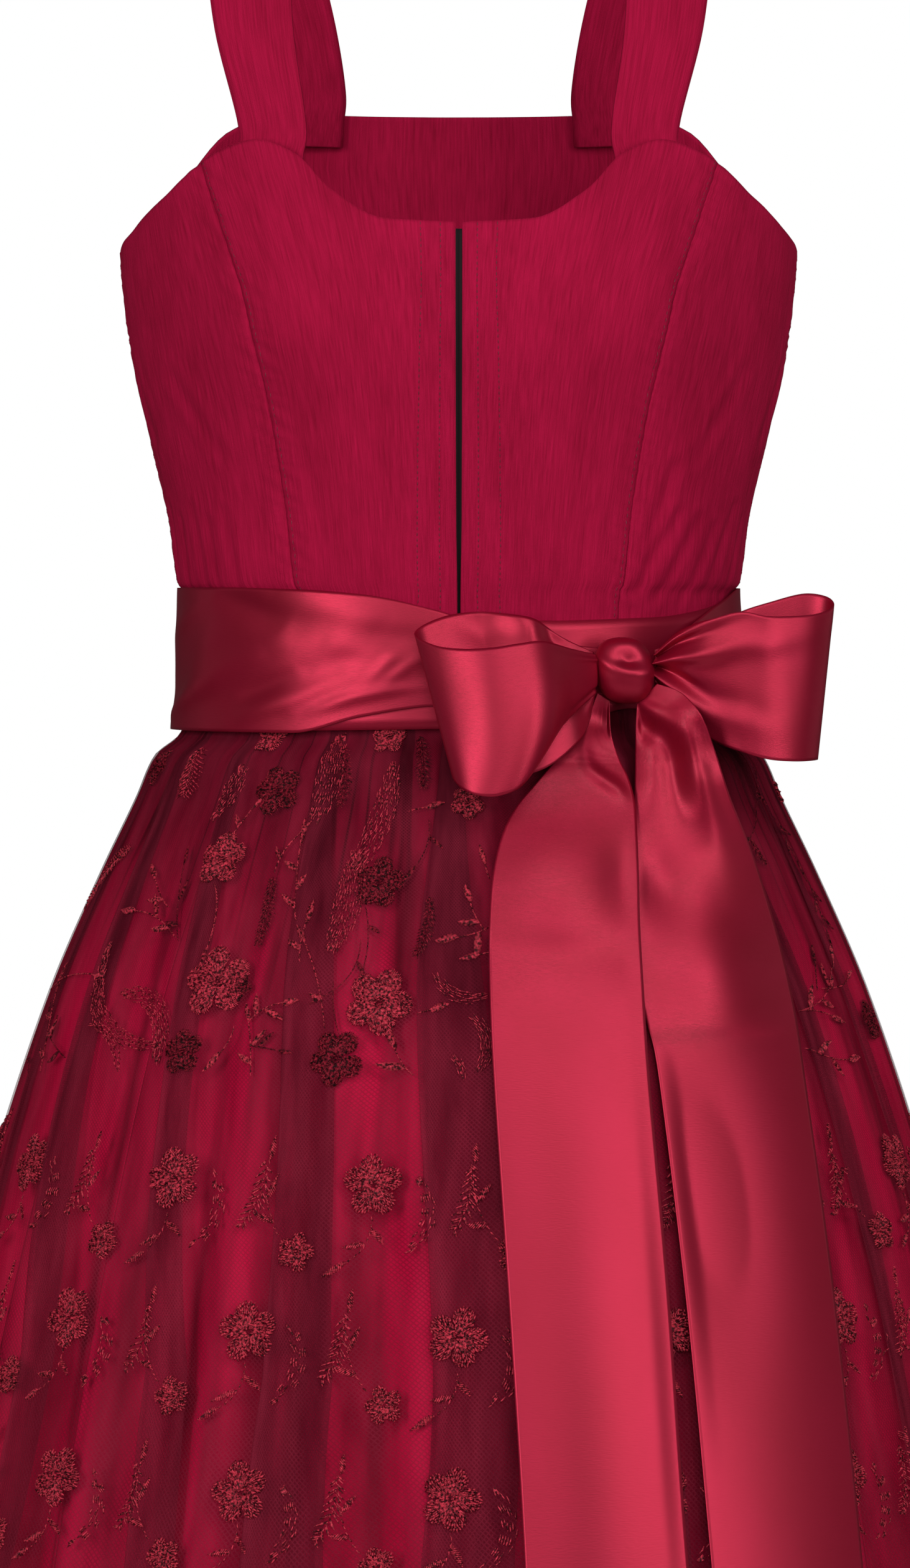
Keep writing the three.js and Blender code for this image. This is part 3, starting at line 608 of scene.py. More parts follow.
def panel(from_seam, to_seam, puckers):
    """The face of a panel between two seams. A seam is a side and a name, with a turn."""
    half_gap = math.degrees(SEAM_GAP / 2 / WAIST_RADIUS)

    def seam_at(seam, z):
        side, name, turn = seam
        return turn + side * SEAMS.at(z, name)

    def at(u, v):
        low = WAIST_SEAM_Z + SEAM_GAP
        z = mix(low, 220, v)
        for _ in range(3):
            degrees = mix(seam_at(from_seam, z) + half_gap, seam_at(to_seam, z) - half_gap, u)
            z = mix(low, top_edge(degrees), v)
        arc = math.radians(seam_at(to_seam, z) - seam_at(from_seam, z)) * MEAN_RADIUS
        pucker = 0
        for near, side in zip((u * arc, (1 - u) * arc), puckers):
            if side:
                pucker += 0.55 * bell(near, 0, 2.4)
                ripple = math.sin(z * 0.95 + 2 * math.sin(z * 0.21) + degrees)
                pucker += 0.34 * ripple * bell(near, 3.5, 5.5)
        wave = 0.35 * noise.noise(Vector((degrees * 0.16, z * 0.02, 3)))
        return bodice_point(degrees, z, wave - pucker - bodice_creases(degrees, z))

    return at


# %% Bodice panels
PANELS = {
    "bodice_front_left": ((-1, "cup", 0), (-1, "closing", 0), (True, False)),
    "bodice_front_right": ((1, "closing", 0), (1, "cup", 0), (False, True)),
    "bodice_side_front_left": ((-1, "side", 0), (-1, "cup", 0), (True, True)),
    "bodice_side_front_right": ((1, "cup", 0), (1, "side", 0), (True, True)),
    "bodice_side_back_left": ((-1, "back", 0), (-1, "side", 0), (True, True)),
    "bodice_side_back_right": ((1, "side", 0), (1, "back", 0), (True, True)),
    "bodice_back": ((1, "back", 0), (-1, "back", 360), (True, True)),
}
faces = {node: panel(*row) for node, row in PANELS.items()}
for node, face in faces.items():
    shell = cloth(f"{node}_cloth", face, 64, 130, COTTON, cotton)
    stand_for(shell, node)

# %% Rows of stitching on the bodice
STITCH_STEP = 2.9
STITCH_LIFT = 0.25
# A row's offset is in mm from the panel's first seam, or from its second one where negative.
STITCH_ROWS = rows_of(
    "panel offset",
    ("bodice_front_left", -8), ("bodice_front_left", -18.5), ("bodice_front_left", 2.6),
    ("bodice_front_right", 8), ("bodice_front_right", 18.5), ("bodice_front_right", -2.6),
    ("bodice_side_back_left", 2.6), ("bodice_side_back_right", -2.6),
    ("bodice_back", 2.6), ("bodice_back", -2.6),
)

seam_rows = Sewing("bodice_stitching", stitch_thread, 0.42, "bodice_cotton")
for row in STITCH_ROWS:
    face = faces[row["panel"]]
    offset = row["offset"]
    steps = round((face(0.5, 1) - face(0.5, 0)).length / STITCH_STEP)
    for i in range(steps):
        points = []
        for part, lift in ((0.12, 0), (0.45, STITCH_LIFT), (0.78, 0)):
            v = (i + part) / steps
            width = (face(1, v) - face(0, v)).length * 1.03
            u = offset / width if offset > 0 else 1 + offset / width
            points.append((face(u, v) + outward(face, u, v) * lift) * MM)
        seam_rows.strand(points)
seam_rows.make()

# %% The dark tape behind the front closing
PLACKET_HALF_WIDTH = 9
PLACKET_TOP_Z = 193
PLACKET_TUCK = 2.4
PLACKET_RADIUS = 100
TAPE = 0.9


def placket(u, v):
    z = mix(WAIST_SEAM_Z + SEAM_GAP, PLACKET_TOP_Z, v)
    middle = bodice_point(0, z, -PLACKET_TUCK)
    x = mix(-PLACKET_HALF_WIDTH, PLACKET_HALF_WIDTH, u)
    return Vector((x, middle.y + PLACKET_RADIUS * (1 - math.cos(x / PLACKET_RADIUS)), z))


shell = cloth("front_placket_tape", placket, 6, 60, TAPE, tape)
stand_for(shell, "front_placket")

# %% [markdown]
# ## The shoulder straps
# They are outside the photo, so they are plain: a doubled strip of the bodice's cloth that
# goes over each shoulder and is tucked inside the top edge at both ends. A strip extruded
# along one line could twist, so each strap is a grid between the lines of its two edges.

# %% Straps
STRAP_ARCH = Table(
    "innerX innerY outerX outerY z",
    (78, -84, 115, -72, 290), (80, -62, 121, -52, 340), (82, -32, 125, -26, 382),
    (83, 2, 126, 4, 398), (80, 36, 122, 34, 388), (72, 66, 113, 60, 352), (62, 88, 102, 78, 310),
)
STRAP_ENDS = {"inner": (27, 158), "outer": (41, 141)}
STRAP_FRONT_ZS = (216, 228, 244)
STRAP_BACK_ZS = (278, 262, 250)
STRAP_TUCK = 3.0


def strap_edge(edge):
    """One edge's line, from inside the front's top edge over the shoulder to the back's."""
    front, back = STRAP_ENDS[edge]
    rows = [tuple(bodice_point(front, z, -STRAP_TUCK)) for z in STRAP_FRONT_ZS]
    columns = STRAP_ARCH.columns
    for i in range(STRAP_ARCH.last + 1):
        z = columns["z"][i]
        drop = 9 * bell(z, 400, 60) if edge == "outer" else 0
        rows.append((columns[f"{edge}X"][i], columns[f"{edge}Y"][i], z - drop))
    rows += [tuple(bodice_point(back, z, -STRAP_TUCK)) for z in STRAP_BACK_ZS]
    return Table("x y z", *rows)


inner_edge = strap_edge("inner")
outer_edge = strap_edge("outer")


def strap(side):
    def at(u, v):
        across = u if side > 0 else 1 - u
        x, y, z = (mix(inner_edge.along(v, a), outer_edge.along(v, a), across) for a in "xyz")
        return Vector((side * x, y, z))

    return at


for name, side in (("strap_left", -1), ("strap_right", 1)):
    shell = cloth(f"{name}_cloth", strap(side), 12, 120, COTTON, cotton)
    stand_for(shell, name)

# %% [markdown]
# ## The skirt
# Four straight widths of taffeta are gathered into the waist seam, so the folds are small
# and many at the top and grow wider and deeper towards the hem. Each width is a grid round
# the body whose folds are waves of the angle, because gathers repeat almost evenly.

# %% The skirt's shape
SKIRT_HEM_Z = -650
SASH_BOTTOM_Z = -42
WAIST_ROUNDNESS = 0.725
GATHERS = 24
PINCHES = 34
PINCH_DEPTH = 5.5
TAFFETA = 1.0

SKIRT = Table(
    "z crest gather apron fold",
    (-12, 132.2, 0.3, 1.4, 0.3), (-24, 132.7, 0.3, 1.7, 0.3), (-42, 134.8, 0.5, 2.3, 0.5),
    (-54, 147.9, 1.0, 2.8, 1.4), (-74, 156.8, 1.4, 2.7, 2.0), (-110, 174.0, 2.0, 2.5, 2.6),
    (-170, 200.0, 3.0, 2.5, 2.8), (-270, 232.5, 5.5, 2.6, 3.4), (-430, 273.5, 9.5, 2.8, 4.2),
    (-650, 319.0, 14.5, 3.0, 5.0),
)


def roundness(z):
    """The depth as a share of the width, which grows from the waist to the hem."""
    down = min(max((z - SASH_BOTTOM_Z) / (SKIRT_HEM_Z - SASH_BOTTOM_Z), 0), 1)
    return WAIST_ROUNDNESS + 0.155 * down**0.7


def gather_wave(degrees):
    turn = math.radians(degrees)
    drift = 1.1 * math.sin(3 * turn + 0.8) + 0.7 * math.sin(7 * turn + 2.1)
    depth = 0.82 + 0.12 * math.sin(5 * turn + 1.3) + 0.06 * math.sin(11 * turn)
    return depth * math.cos(GATHERS * turn + drift)


def pinch(degrees, z):
    """Narrow gathers that run out of the waist seam and open up lower down."""
    turn = math.radians(degrees)
    narrow = (0.5 + 0.5 * math.cos(PINCHES * turn + 2.2 * math.sin(5 * turn + 1) + 0.004 * z)) ** 5
    uneven = 0.65 + 0.35 * math.sin(9 * turn + 2)
    depth = PINCH_DEPTH * narrow * uneven * ease(z, -210, -70) * ease(-z, 40, 62)
    return depth * (1 - side_share(degrees, z))


def on_ring(degrees, z, radius):
    angle = math.radians(degrees)
    return Vector((radius * math.sin(angle), -radius * roundness(z) * math.cos(angle), z))


def side_share(degrees, z):
    """How near a place is to the outline that the front view shows, where layers press flat."""
    turn = abs((degrees + 180) % 360 - 180)
    return bell(turn, 90, 28) * ease(z, -420, -240)


def skirt_height(v, top, bottom):
    """Rows that are close together near the waist, where the cloth bends most."""
    return top + (bottom - top) * (1 - v) ** 1.5


def skirt_panel(from_degrees, to_degrees):
    """The face of one width, gathered between two angles."""

    def at(u, v):
        z = skirt_height(v, WAIST_SEAM_Z, SKIRT_HEM_Z)
        crest, gather = SKIRT.at(z, "crest"), SKIRT.at(z, "gather")
        half_gap = math.degrees(SEAM_GAP / 2 / crest / 0.72)
        degrees = mix(from_degrees + half_gap, to_degrees - half_gap, u)
        ripple = math.cos(math.radians(degrees) * 84 + math.sin(degrees * 0.2)) - 1
        crimp = 0.6 * ripple * bell(z, -55, 32)
        trough = 1.6 * gather * (gather_wave(degrees) - 1) * (1 - 0.95 * side_share(degrees, z))
        return on_ring(degrees, z, crest - 0.3 + trough + crimp - pinch(degrees, z))

    return at


hem_ring = [on_ring(degrees, SKIRT_HEM_Z, SKIRT.at(SKIRT_HEM_Z, "crest")) for degrees in range(361)]
print("round the hem in mm:", round(length_of(hem_ring)))

# %% Skirt panels
for name, start in (("skirt_front", -45), ("skirt_right", 45), ("skirt_back", 135), ("skirt_left", 225)):
    shell = cloth(f"{name}_cloth", skirt_panel(start, start + 90), 230, 70, TAFFETA, taffeta)
    stand_for(shell, name)

# %% [markdown]
# ## The net apron
# The net is wider than the waist it is gathered to, so it folds back under itself. Each
# fold lies three layers deep and looks darker, with a crisp edge on the left. The fold is a
# sine that moves the cloth round the body and outwards at the same time, because a wave that
# only moves outwards can't turn back under itself. The net is thin, so it gets no wall.

# %% The apron's folds
APRON_TOP_Z = -24
APRON_HEM_Z = -600
EDGE_SHARE = 0.25
FOLDS = Table(
    "number angle drift overlap",
    (0, -103, 0, 1.9), (1, -89, 1, 2.1), (2, -75, 2, 2.0), (3, -59, 3.6, 2.5), (4, -40.5, 5, 2.05),
    (5, -21, 2.6, 2.35), (6, -0.5, 0.8, 2.8), (7, 19, 0, 2.3), (8, 37, 0, 2.2), (9, 54, 0.5, 2.2),
    (10, 69, 1, 2.5), (11, 83, 1, 2.0), (12, 94, 0, 2.0), (13, 103, 0, 1.9),
)


def apron_place(number, z):
    """The angle and the radius of the net at a place across its folds."""
    i = min(max(int(number), 0), FOLDS.last - 1)
    pitch = FOLDS.columns["angle"][i + 1] - FOLDS.columns["angle"][i]
    spread = 0.75 + 0.25 * ease(-z, 40, 160)
    overlap = FOLDS.at(number, "overlap") * spread
    sway = 0.05 * math.sin(z * 0.018 + number * 1.7)
    swing = math.sin(2 * math.pi * (number + sway))
    middle = FOLDS.at(number, "angle") - FOLDS.at(number, "drift") * (max(z, -330) + 150) / 100
    degrees = middle - pitch * overlap / (2 * math.pi) * swing
    flat = side_share(degrees, z)
    height = SKIRT.at(z, "fold") * (0.5 + 0.5 * swing) * (1 - 0.93 * flat)
    limp = 0.35 * SKIRT.at(z, "gather") * (gather_wave(degrees) - 1) * (1 - flat)
    sink = 0.4 * pinch(degrees, z)
    return degrees, SKIRT.at(z, "crest") + 0.2 + height + max(limp, -2.5) - sink


def apron(u, v):
    z = skirt_height(v, APRON_TOP_Z, APRON_HEM_Z)
    degrees, radius = apron_place(mix(EDGE_SHARE, FOLDS.last - EDGE_SHARE, u), z)
    return on_ring(degrees, z, radius)


net_apron = cloth("apron_net", apron, 620, 110, 0, net)
stand_for(net_apron, "apron")

# %% [markdown]
# ## The embroidery
# The net is covered with flowers, ferns, sprays of small leaves and curved sheaves of long
# stitches, all in thread of its own colour. Each stitch is a short strand that is thick in
# the middle, laid on the net where a straight line towards the middle of the body meets it.
# In the view of the photo the motifs are placed by the pixel where each one shows, so they
# sit in the folds as they do there. Further down they repeat in staggered rows.

# %% Stitches on the net
IMAGE_WIDTH = 1463
THREAD = 0.6
OUTLINE_DEGREES = 82
OUTLINE_BOTTOM_Z = -240

net_tree = BVHTree.FromObject(net_apron, bpy.context.evaluated_depsgraph_get())
print("thread in mm:", THREAD)


def seen_place(px, py):
    """The angle and height on the net behind a pixel of the photo."""
    up = Vector((0, math.sin(CAMERA_LIFT), math.cos(CAMERA_LIFT)))
    reach = PIXELS_PER_MM * CAMERA_DISTANCE
    across, rise = (px - IMAGE_WIDTH / 2) / reach, (IMAGE_HEIGHT / 2 - py) / reach
    line = -away + Vector((1, 0, 0)) * across + up * rise
    hit = net_tree.ray_cast(camera.location, line.normalized())[0]
    if hit is None:
        return None
    z = hit.z / MM
    return math.degrees(math.atan2(hit.x, -hit.y / roundness(z))), z


def degrees_per_mm(degrees, z):
    radius = SKIRT.at(z, "crest")
    return 1 / (on_ring(degrees + 0.5, z, radius) - on_ring(degrees - 0.5, z, radius)).length


def on_net(degrees, z, lift):
    """The point at an angle and height, at a distance out from the net's outer layer."""
    outside = on_ring(degrees, z, SKIRT.at(z, "crest") + 40) * MM
    inside = Vector((0, 0, z * MM))
    hit = net_tree.ray_cast(outside, (inside - outside).normalized())[0]
    if hit is None:
        return None
    direction = outside - inside
    return hit + direction.normalized() * lift * MM


def net_stitch(sewing, place, start, end, height, thick=1.0):
    """One stitch from start to end, in mm across and up from a place on the net."""
    degrees, z = place
    scale = degrees_per_mm(degrees, z)
    middle = ((start[0] + end[0]) / 2, (start[1] + end[1]) / 2)
    if abs(degrees + middle[0] * scale) > OUTLINE_DEGREES and z > OUTLINE_BOTTOM_Z:
        return
    strand = [
        on_net(degrees + x * scale, z + y, lift - sewing.under)
        for (x, y), lift in ((start, 0.15), (middle, height), (end, 0.15))
    ]
    if None not in strand:
        sewing.strand(strand, thick)


# %% Flower
PETALS = 5
# A ring of stitches starts and ends at shares of its petal's reach.
FLOWER_RINGS = rows_of(
    "start end lift thick",
    (0.14, 0.40, 0.5, 0.9), (0.32, 0.58, 0.9, 1.0), (0.50, 0.76, 1.3, 1.1), (0.66, 0.90, 1.6, 1.2),
    (0.82, 1.0, 1.3, 1.3),
)


def polar(reach, angle):
    return reach * math.cos(angle), reach * math.sin(angle)


def flower(sewing, place, radius, turn):
    """Round petals of ragged stitches, highest at the rim, round a knotted middle."""
    fan = max(9, round(radius * 1.7))
    for petal in range(PETALS):
        middle = math.radians(turn + petal * 360 / PETALS + sewing.jitter(7))
        lobe = 0.385 + sewing.jitter(0.015)
        for i in range(fan):
            lean = (i / (fan - 1) * 2 - 1) * math.pi / PETALS * 0.94
            reach = 0.62 * math.cos(lean) + math.sqrt(lobe**2 - (0.62 * math.sin(lean)) ** 2)
            tip = radius * reach * (1 + sewing.jitter(0.02))
            for ring in FLOWER_RINGS:
                stray = sewing.jitter(0.07)
                near = polar(tip * (ring["start"] + sewing.jitter(0.05)), middle + lean + stray)
                far = polar(tip * ring["end"], middle + lean - stray * 0.5)
                net_stitch(sewing, place, near, far, ring["lift"], ring["thick"])
    for i in range(round(radius * 1.2)):
        x, y = polar(radius * 0.24 * math.sqrt((i + 0.5) / radius / 1.2), i * 2.4)
        net_stitch(sewing, place, (x - 0.8, y - sewing.jitter(0.8)), (x + 0.8, y + 0.5), 1.7, 1.3)


print("petals of a flower:", PETALS)

# %% Leaf and sprig


def between_places(place, end):
    """How far an end is from a place, in mm across and up."""
    scale = degrees_per_mm(*place)
    return (end[0] - place[0]) / scale, end[1] - place[1]


def curve_at(end, bend, share):
    """A place on a bowed line from zero to an end, and the line's direction there."""
    x, y = end
    bow = bend * 4 * share * (1 - share)
    slope = bend * 4 * (1 - 2 * share)
    return (x * share - y * bow, y * share + x * bow), Vector((x - y * slope, y + x * slope)).normalized()


def leaf(sewing, place, start, way, length, width):
    """Slanting stitches over a slender leaf that starts at a point and goes one way."""
    count = max(6, round(length / 0.5))
    for i in range(count):
        share = (i + 0.5) / count
        x, y = start[0] + way.x * length * share, start[1] + way.y * length * share
        half = width * math.sin(math.pi * share**0.85) + 0.15
        dx, dy = (way.x * 0.7 - way.y) * half, (way.y * 0.7 + way.x) * half
        net_stitch(sewing, place, (x - dx, y - dy), (x + dx, y + dy), 0.75)


def sprig(sewing, place, end, bend, leaves, size=8.5):
    """A stem of short slanting stitches, with leaves on both sides and one at its tip."""
    reach = between_places(place, end)
    count = max(2, round(math.hypot(*reach) / 1.5))
    for i in range(count):
        (x, y), way = curve_at(reach, bend, (i + 0.5) / count)
        dx, dy = (way.x - way.y * 0.28) * 1.15, (way.y + way.x * 0.28) * 1.15
        net_stitch(sewing, place, (x - dx, y - dy), (x + dx, y + dy), 0.55, 0.95)
    for i in range(leaves):
        last = i == leaves - 1
        start, way = curve_at(reach, bend, 1 if last else (i + 0.6) / leaves)
        turn = 0 if last else (0.8 + sewing.jitter(0.25)) * (-1 if i % 2 else 1)
        way.rotate(Matrix.Rotation(turn, 2))
        leaf(sewing, place, start, way, size * (1.25 + sewing.jitter(0.25)), size * 0.18)


# %% Fern and sheaf


def fern(sewing, place, end, width, bend):
    """A rib with barbs on both sides, longest below the middle."""
    reach = between_places(place, end)
    length = math.hypot(*reach)
    count = max(8, round(length / 0.9))
    for i in range(count):
        share = (i + 0.5) / count
        (x, y), way = curve_at(reach, bend, share)
        half = width * (0.25 + 0.75 * math.sin(math.pi * min(1, 0.15 + share * 0.8)) ** 0.8)
        for side in (-1, 1):
            stray = half * (1 + sewing.jitter(0.22))
            forward = 0.9 + sewing.jitter(0.25)
            dx, dy = way.x * forward - side * way.y, way.y * forward + side * way.x
            net_stitch(sewing, place, (x, y), (x + dx * stray * 0.75, y + dy * stray * 0.75), 0.8)
        if i % 2:
            net_stitch(sewing, place, (x - way.x, y - way.y), (x + way.x * 1.2, y + way.y * 1.2), 1.2, 1.2)


def sheaf(sewing, place, end, width, bend, rows):
    """Long broken stitches that run side by side along a curve."""
    reach = between_places(place, end)
    length = math.hypot(*reach) * (1 + 2.6 * bend * bend)
    dashes = max(4, round(length / 3.6))
    for row in range(rows):
        offset = (row / (rows - 1)) * 2 - 1
        for i in range(dashes):
            share = (i + 0.5 + sewing.jitter(0.35)) / dashes
            swell = math.sin(math.pi * min(max(share, 0), 1)) ** 0.6
            if sewing.jitter(1) > 0.55 + 0.4 * swell:
                continue
            (x, y), way = curve_at(reach, bend, share)
            side = width * offset * (0.2 + 0.8 * swell) + sewing.jitter(0.35)
            x, y = x - way.y * side, y + way.x * side
            fray = sewing.jitter(0.22)
            dx, dy = (way.x - way.y * fray) * 1.9, (way.y + way.x * fray) * 1.9
            net_stitch(sewing, place, (x - dx, y - dy), (x + dx, y + dy), 0.7)


# %% Motifs in the photo's view, by pixel
# A motif starts at the pixel px, py and ends at end_px, end_py. Its radius, width or size is
# in mm and its turn in degrees. Its layer is over or under the net's outer fold.
FLOWERS = rows_of(
    "px py radius turn layer",
    (358, 1380, 12.5, 20, "over"), (350, 1577, 16.5, 100, "over"), (610, 1610, 15.5, 70, "over"),
    (447, 1270, 12, 40, "under"), (610, 1417, 12, 10, "under"), (540, 1700, 13, 50, "under"),
    (293, 1690, 10.5, 30, "under"), (253, 1233, 9, 0, "under"), (442, 1180, 8.5, 90, "over"),
    (627, 1184, 8, 20, "over"), (752, 1290, 8, 60, "over"),
    (1250, 1273, 7, 0, "over"), (1400, 1640, 10, 20, "under"), (386, 1585, 6, 0, "under"),
)
FERNS = rows_of(
    "px py end_px end_py width bend layer",
    (328, 1200, 296, 1277, 7.5, 0.08, "over"), (212, 1362, 136, 1462, 6.5, -0.1, "over"),
    (438, 1408, 414, 1518, 4.6, 0.04, "under"), (690, 1440, 668, 1536, 4.6, 0.08, "under"),
    (674, 1182, 680, 1266, 4.5, 0.05, "under"), (1206, 1347, 1232, 1388, 3.4, -0.08, "under"),
    (554, 1200, 546, 1296, 4.2, 0.1, "under"),
)
SHEAVES = rows_of(
    "px py end_px end_py width bend rows layer",
    (178, 1517, 256, 1680, 4.2, -0.26, 9, "over"), (196, 1596, 250, 1708, 4.6, 0.3, 9, "over"),
    (146, 1645, 190, 1722, 2.0, 0.16, 4, "over"), (392, 1232, 344, 1316, 4.6, 0.06, 9, "over"),
    (548, 1180, 506, 1320, 5.2, 0.06, 10, "over"), (634, 1228, 570, 1400, 5.0, 0.05, 10, "over"),
    (572, 1370, 532, 1528, 6.2, 0.05, 11, "over"), (758, 1632, 768, 1720, 3.0, 0.24, 6, "over"),
    (700, 1566, 782, 1600, 2.6, -0.2, 5, "over"), (728, 1696, 744, 1732, 1.6, 0.1, 4, "over"),
)
SPRIGS = rows_of(
    "px py end_px end_py bend leaves size layer",
    (286, 1512, 296, 1388, 0.04, 3, 7.5, "under"), (282, 1506, 218, 1464, -0.08, 3, 9, "over"),
    (272, 1458, 250, 1412, 0.05, 2, 8, "over"), (346, 1420, 334, 1522, 0.08, 1, 6, "over"),
    (373, 1345, 408, 1298, 0.05, 2, 6, "over"), (66, 1722, 92, 1592, -0.04, 4, 9, "over"),
    (80, 1594, 152, 1567, 0.06, 2, 8, "over"), (44, 1726, 62, 1644, 0.04, 2, 8, "under"),
    (104, 1700, 78, 1628, 0.06, 3, 8.5, "under"), (403, 1728, 400, 1640, -0.03, 3, 8, "over"),
    (402, 1640, 452, 1612, 0.1, 3, 8.5, "over"), (377, 1650, 356, 1690, 0.08, 1, 8.5, "over"),
    (402, 1680, 446, 1688, 0, 2, 7.5, "under"), (442, 1402, 482, 1340, 0.1, 2, 6.5, "over"),
    (476, 1478, 484, 1356, 0.03, 4, 8, "over"), (482, 1545, 492, 1484, 0.05, 2, 8, "over"),
    (522, 1652, 490, 1514, -0.05, 2, 7, "over"), (690, 1318, 668, 1392, 0.1, 2, 8, "under"),
    (588, 1458, 584, 1556, 0.06, 2, 6, "under"), (580, 1510, 522, 1600, 0.16, 2, 6, "under"),
    (536, 1578, 546, 1664, -0.05, 1, 6, "under"), (658, 1303, 684, 1297, 0, 1, 8, "over"),
    (786, 1490, 736, 1506, 0.04, 2, 10, "over"), (780, 1496, 756, 1450, 0.05, 2, 8.5, "over"),
    (788, 1530, 770, 1534, 0, 1, 7, "over"), (664, 1728, 636, 1688, 0.06, 2, 10.5, "over"),
    (672, 1628, 690, 1623, 0, 1, 9, "over"), (786, 1412, 780, 1390, 0, 1, 7, "over"),
    (1213, 1234, 1206, 1346, 0.06, 2, 6, "under"), (1284, 1624, 1338, 1544, -0.1, 4, 9, "over"),
    (1314, 1590, 1311, 1552, 0, 1, 8, "under"), (1320, 1588, 1362, 1571, -0.05, 2, 6.5, "over"),
    (1284, 1624, 1336, 1632, 0.05, 2, 8.5, "over"), (1294, 1684, 1364, 1702, -0.06, 3, 9, "over"),
    (1244, 1312, 1280, 1380, 0.04, 3, 8, "under"), (1300, 1416, 1330, 1498, 0.04, 4, 8, "under"),
)
print("motifs in view:", len(FLOWERS) + len(FERNS) + len(SHEAVES) + len(SPRIGS))

# %% Sewing the motifs in view
UNDER_FOLD = 0.5


def sew_seen(rows, how):
    """Sews each row's motif where the photo shows it."""
    for row in rows:
        sizes = dict(row)
        sewing = over_net if sizes.pop("layer") == "over" else under_net
        places = [seen_place(sizes.pop("px"), sizes.pop("py"))]
        if "end_px" in sizes:
            places.append(seen_place(sizes.pop("end_px"), sizes.pop("end_py")))
        if None in places:
            print("off the net:", how.__name__, row)
        else:
            how(sewing, *places, **sizes)


over_net = Sewing("embroidery_front", silk, THREAD, "apron_tulle")
# The motifs under the fold sit behind the net and are sewn in the shaded copy of the silk, which is painted
# shade.
under_net = Sewing("embroidery_front_dark", shaded_silk, THREAD, "apron_tulle", under=UNDER_FOLD)
for rows, how in ((FLOWERS, flower), (FERNS, fern), (SHEAVES, sheaf), (SPRIGS, sprig)):
    sew_seen(rows, how)
over_net.make()
under_net.make()

# %% [markdown]
# Outside the photo's view the same motifs follow each other in a plain repeat: a flower
# with a spray of leaves and a sheaf, then a fern with a spray and a small flower. Each row
# starts with the other group than the row above it, and every second row starts a little
# further on. Nobody looks at these as closely as at the waist, so they are sewn in fewer and
# thicker stitches.

# %% Motifs in the repeat
REPEAT_ROWS = (-252, -318, -388, -458, -528, -583)
REPEAT_STEP_MM = 48.36
REPEAT_DEGREES = 94
ROW_SHIFT_DEGREES = 6
REPEAT_THREAD = THREAD * 1.5


def motif_group(sewing, degrees, z, odd):
    """The motifs round one place, whose own places are in mm across and up from it."""
    scale = degrees_per_mm(degrees, z)

    def place(x, y):
        return degrees + x * scale, z + y

    if odd:
        fern(sewing, place(-4, 18), place(-12, -12), 5.5, 0.1)
        sprig(sewing, place(8, -16), place(-2, 18), 0.12, 3)
        flower(sewing, place(16, -22), 9, degrees * 3)
    else:
        flower(sewing, place(0, 8), 14, degrees * 5)
        sprig(sewing, place(0, -6), place(-10, -26), 0.15, 3)
        sheaf(sewing, place(20, 12), place(14, -22), 3.2, 0.25, 6)


for row, z in enumerate(REPEAT_ROWS):
    low_net = Sewing(f"embroidery_row_{row + 1}", silk, REPEAT_THREAD, "apron_tulle", every=2)
    degrees = -REPEAT_DEGREES + (row % 2) * ROW_SHIFT_DEGREES
    number = row
    while degrees < REPEAT_DEGREES:
        motif_group(low_net, degrees, z, number % 2)
        degrees += REPEAT_STEP_MM * degrees_per_mm(degrees, z)
        number += 1
    low_net.make()

# %% [markdown]
# ## The ribbon round the waist
# One long satin ribbon is the apron's waistband. It goes round once under its own second
# turn, which is drawn aslant to the knot from both sides and creases as it goes. The
# creases are short lines in a table, since each one shows in the photo as one highlight.

# %% The ribbon's measures
SATIN = 0.7
SHARE_PER_DEGREE = 0.022
RIBBON = Table("z width", (-42, 137.8), (-32, 136.4), (-20, 135.0), (0, 134.0), (28, 134.4))
WAISTBAND = Table(
    "angle top bottom", (-180, 24, -40), (-90, 24, -40), (-40, 22, -40), (-10, 15.5, -39),
    (20, 11.8, -38), (28, 12.2, -33), (36, 12.8, -29.5), (45, 13.5, -33), (58, 16.5, -38),
    (70, 20, -39), (100, 24, -40), (180, 24, -40),
)
WRAP = Table(
    "angle top bottom out", (42, -1, -21, 7), (48, 3, -24, 3.5), (55, 11, -30, 0.6),
    (66, 20, -36, 0), (82, 27, -40, 0), (120, 27.5, -41, 0), (240, 27.5, -41, 0),
    (300, 27.5, -41, 0), (326, 26.5, -41, 0), (341, 24, -33, 0), (355, 17, -28, 0),
    (367, 8, -27, 0.6), (378, 2, -25, 0.7), (390, -1.5, -22.5, 0.7),
)
SASH_FOLDS = rows_of(
    "angle height end_angle end_height width depth",
    (280, 0.10, 322, 0.62, 0.10, 2.0), (272, 0.05, 296, 0.28, 0.06, 1.3),
    (308, 0.06, 338, 0.36, 0.07, 1.5), (309, 0.20, 328, 0.44, 0.06, -1.3),
    (300, 0.98, 326, 0.74, 0.09, -1.6), (318, 1.0, 348, 0.78, 0.12, 1.2),
    (276, 0.66, 300, 0.92, 0.08, 1.2), (330, 0.62, 352, 0.50, 0.10, 1.0), (326, 0.14, 354, 0.20, 0.05, 1.0),
    (342, 0.28, 349, 0.56, 0.03, 0.5), (346, 0.24, 353, 0.52, 0.03, 0.5),
    (58, 0.60, 82, 0.40, 0.10, 1.1), (56, 0.35, 84, 0.22, 0.10, 1.0), (60, 0.85, 88, 0.70, 0.10, 0.9),
    (110, 0.6, 150, 0.5, 0.12, 0.8), (190, 0.4, 235, 0.55, 0.12, 0.8), (150, 0.25, 200, 0.3, 0.1, 0.6),
)
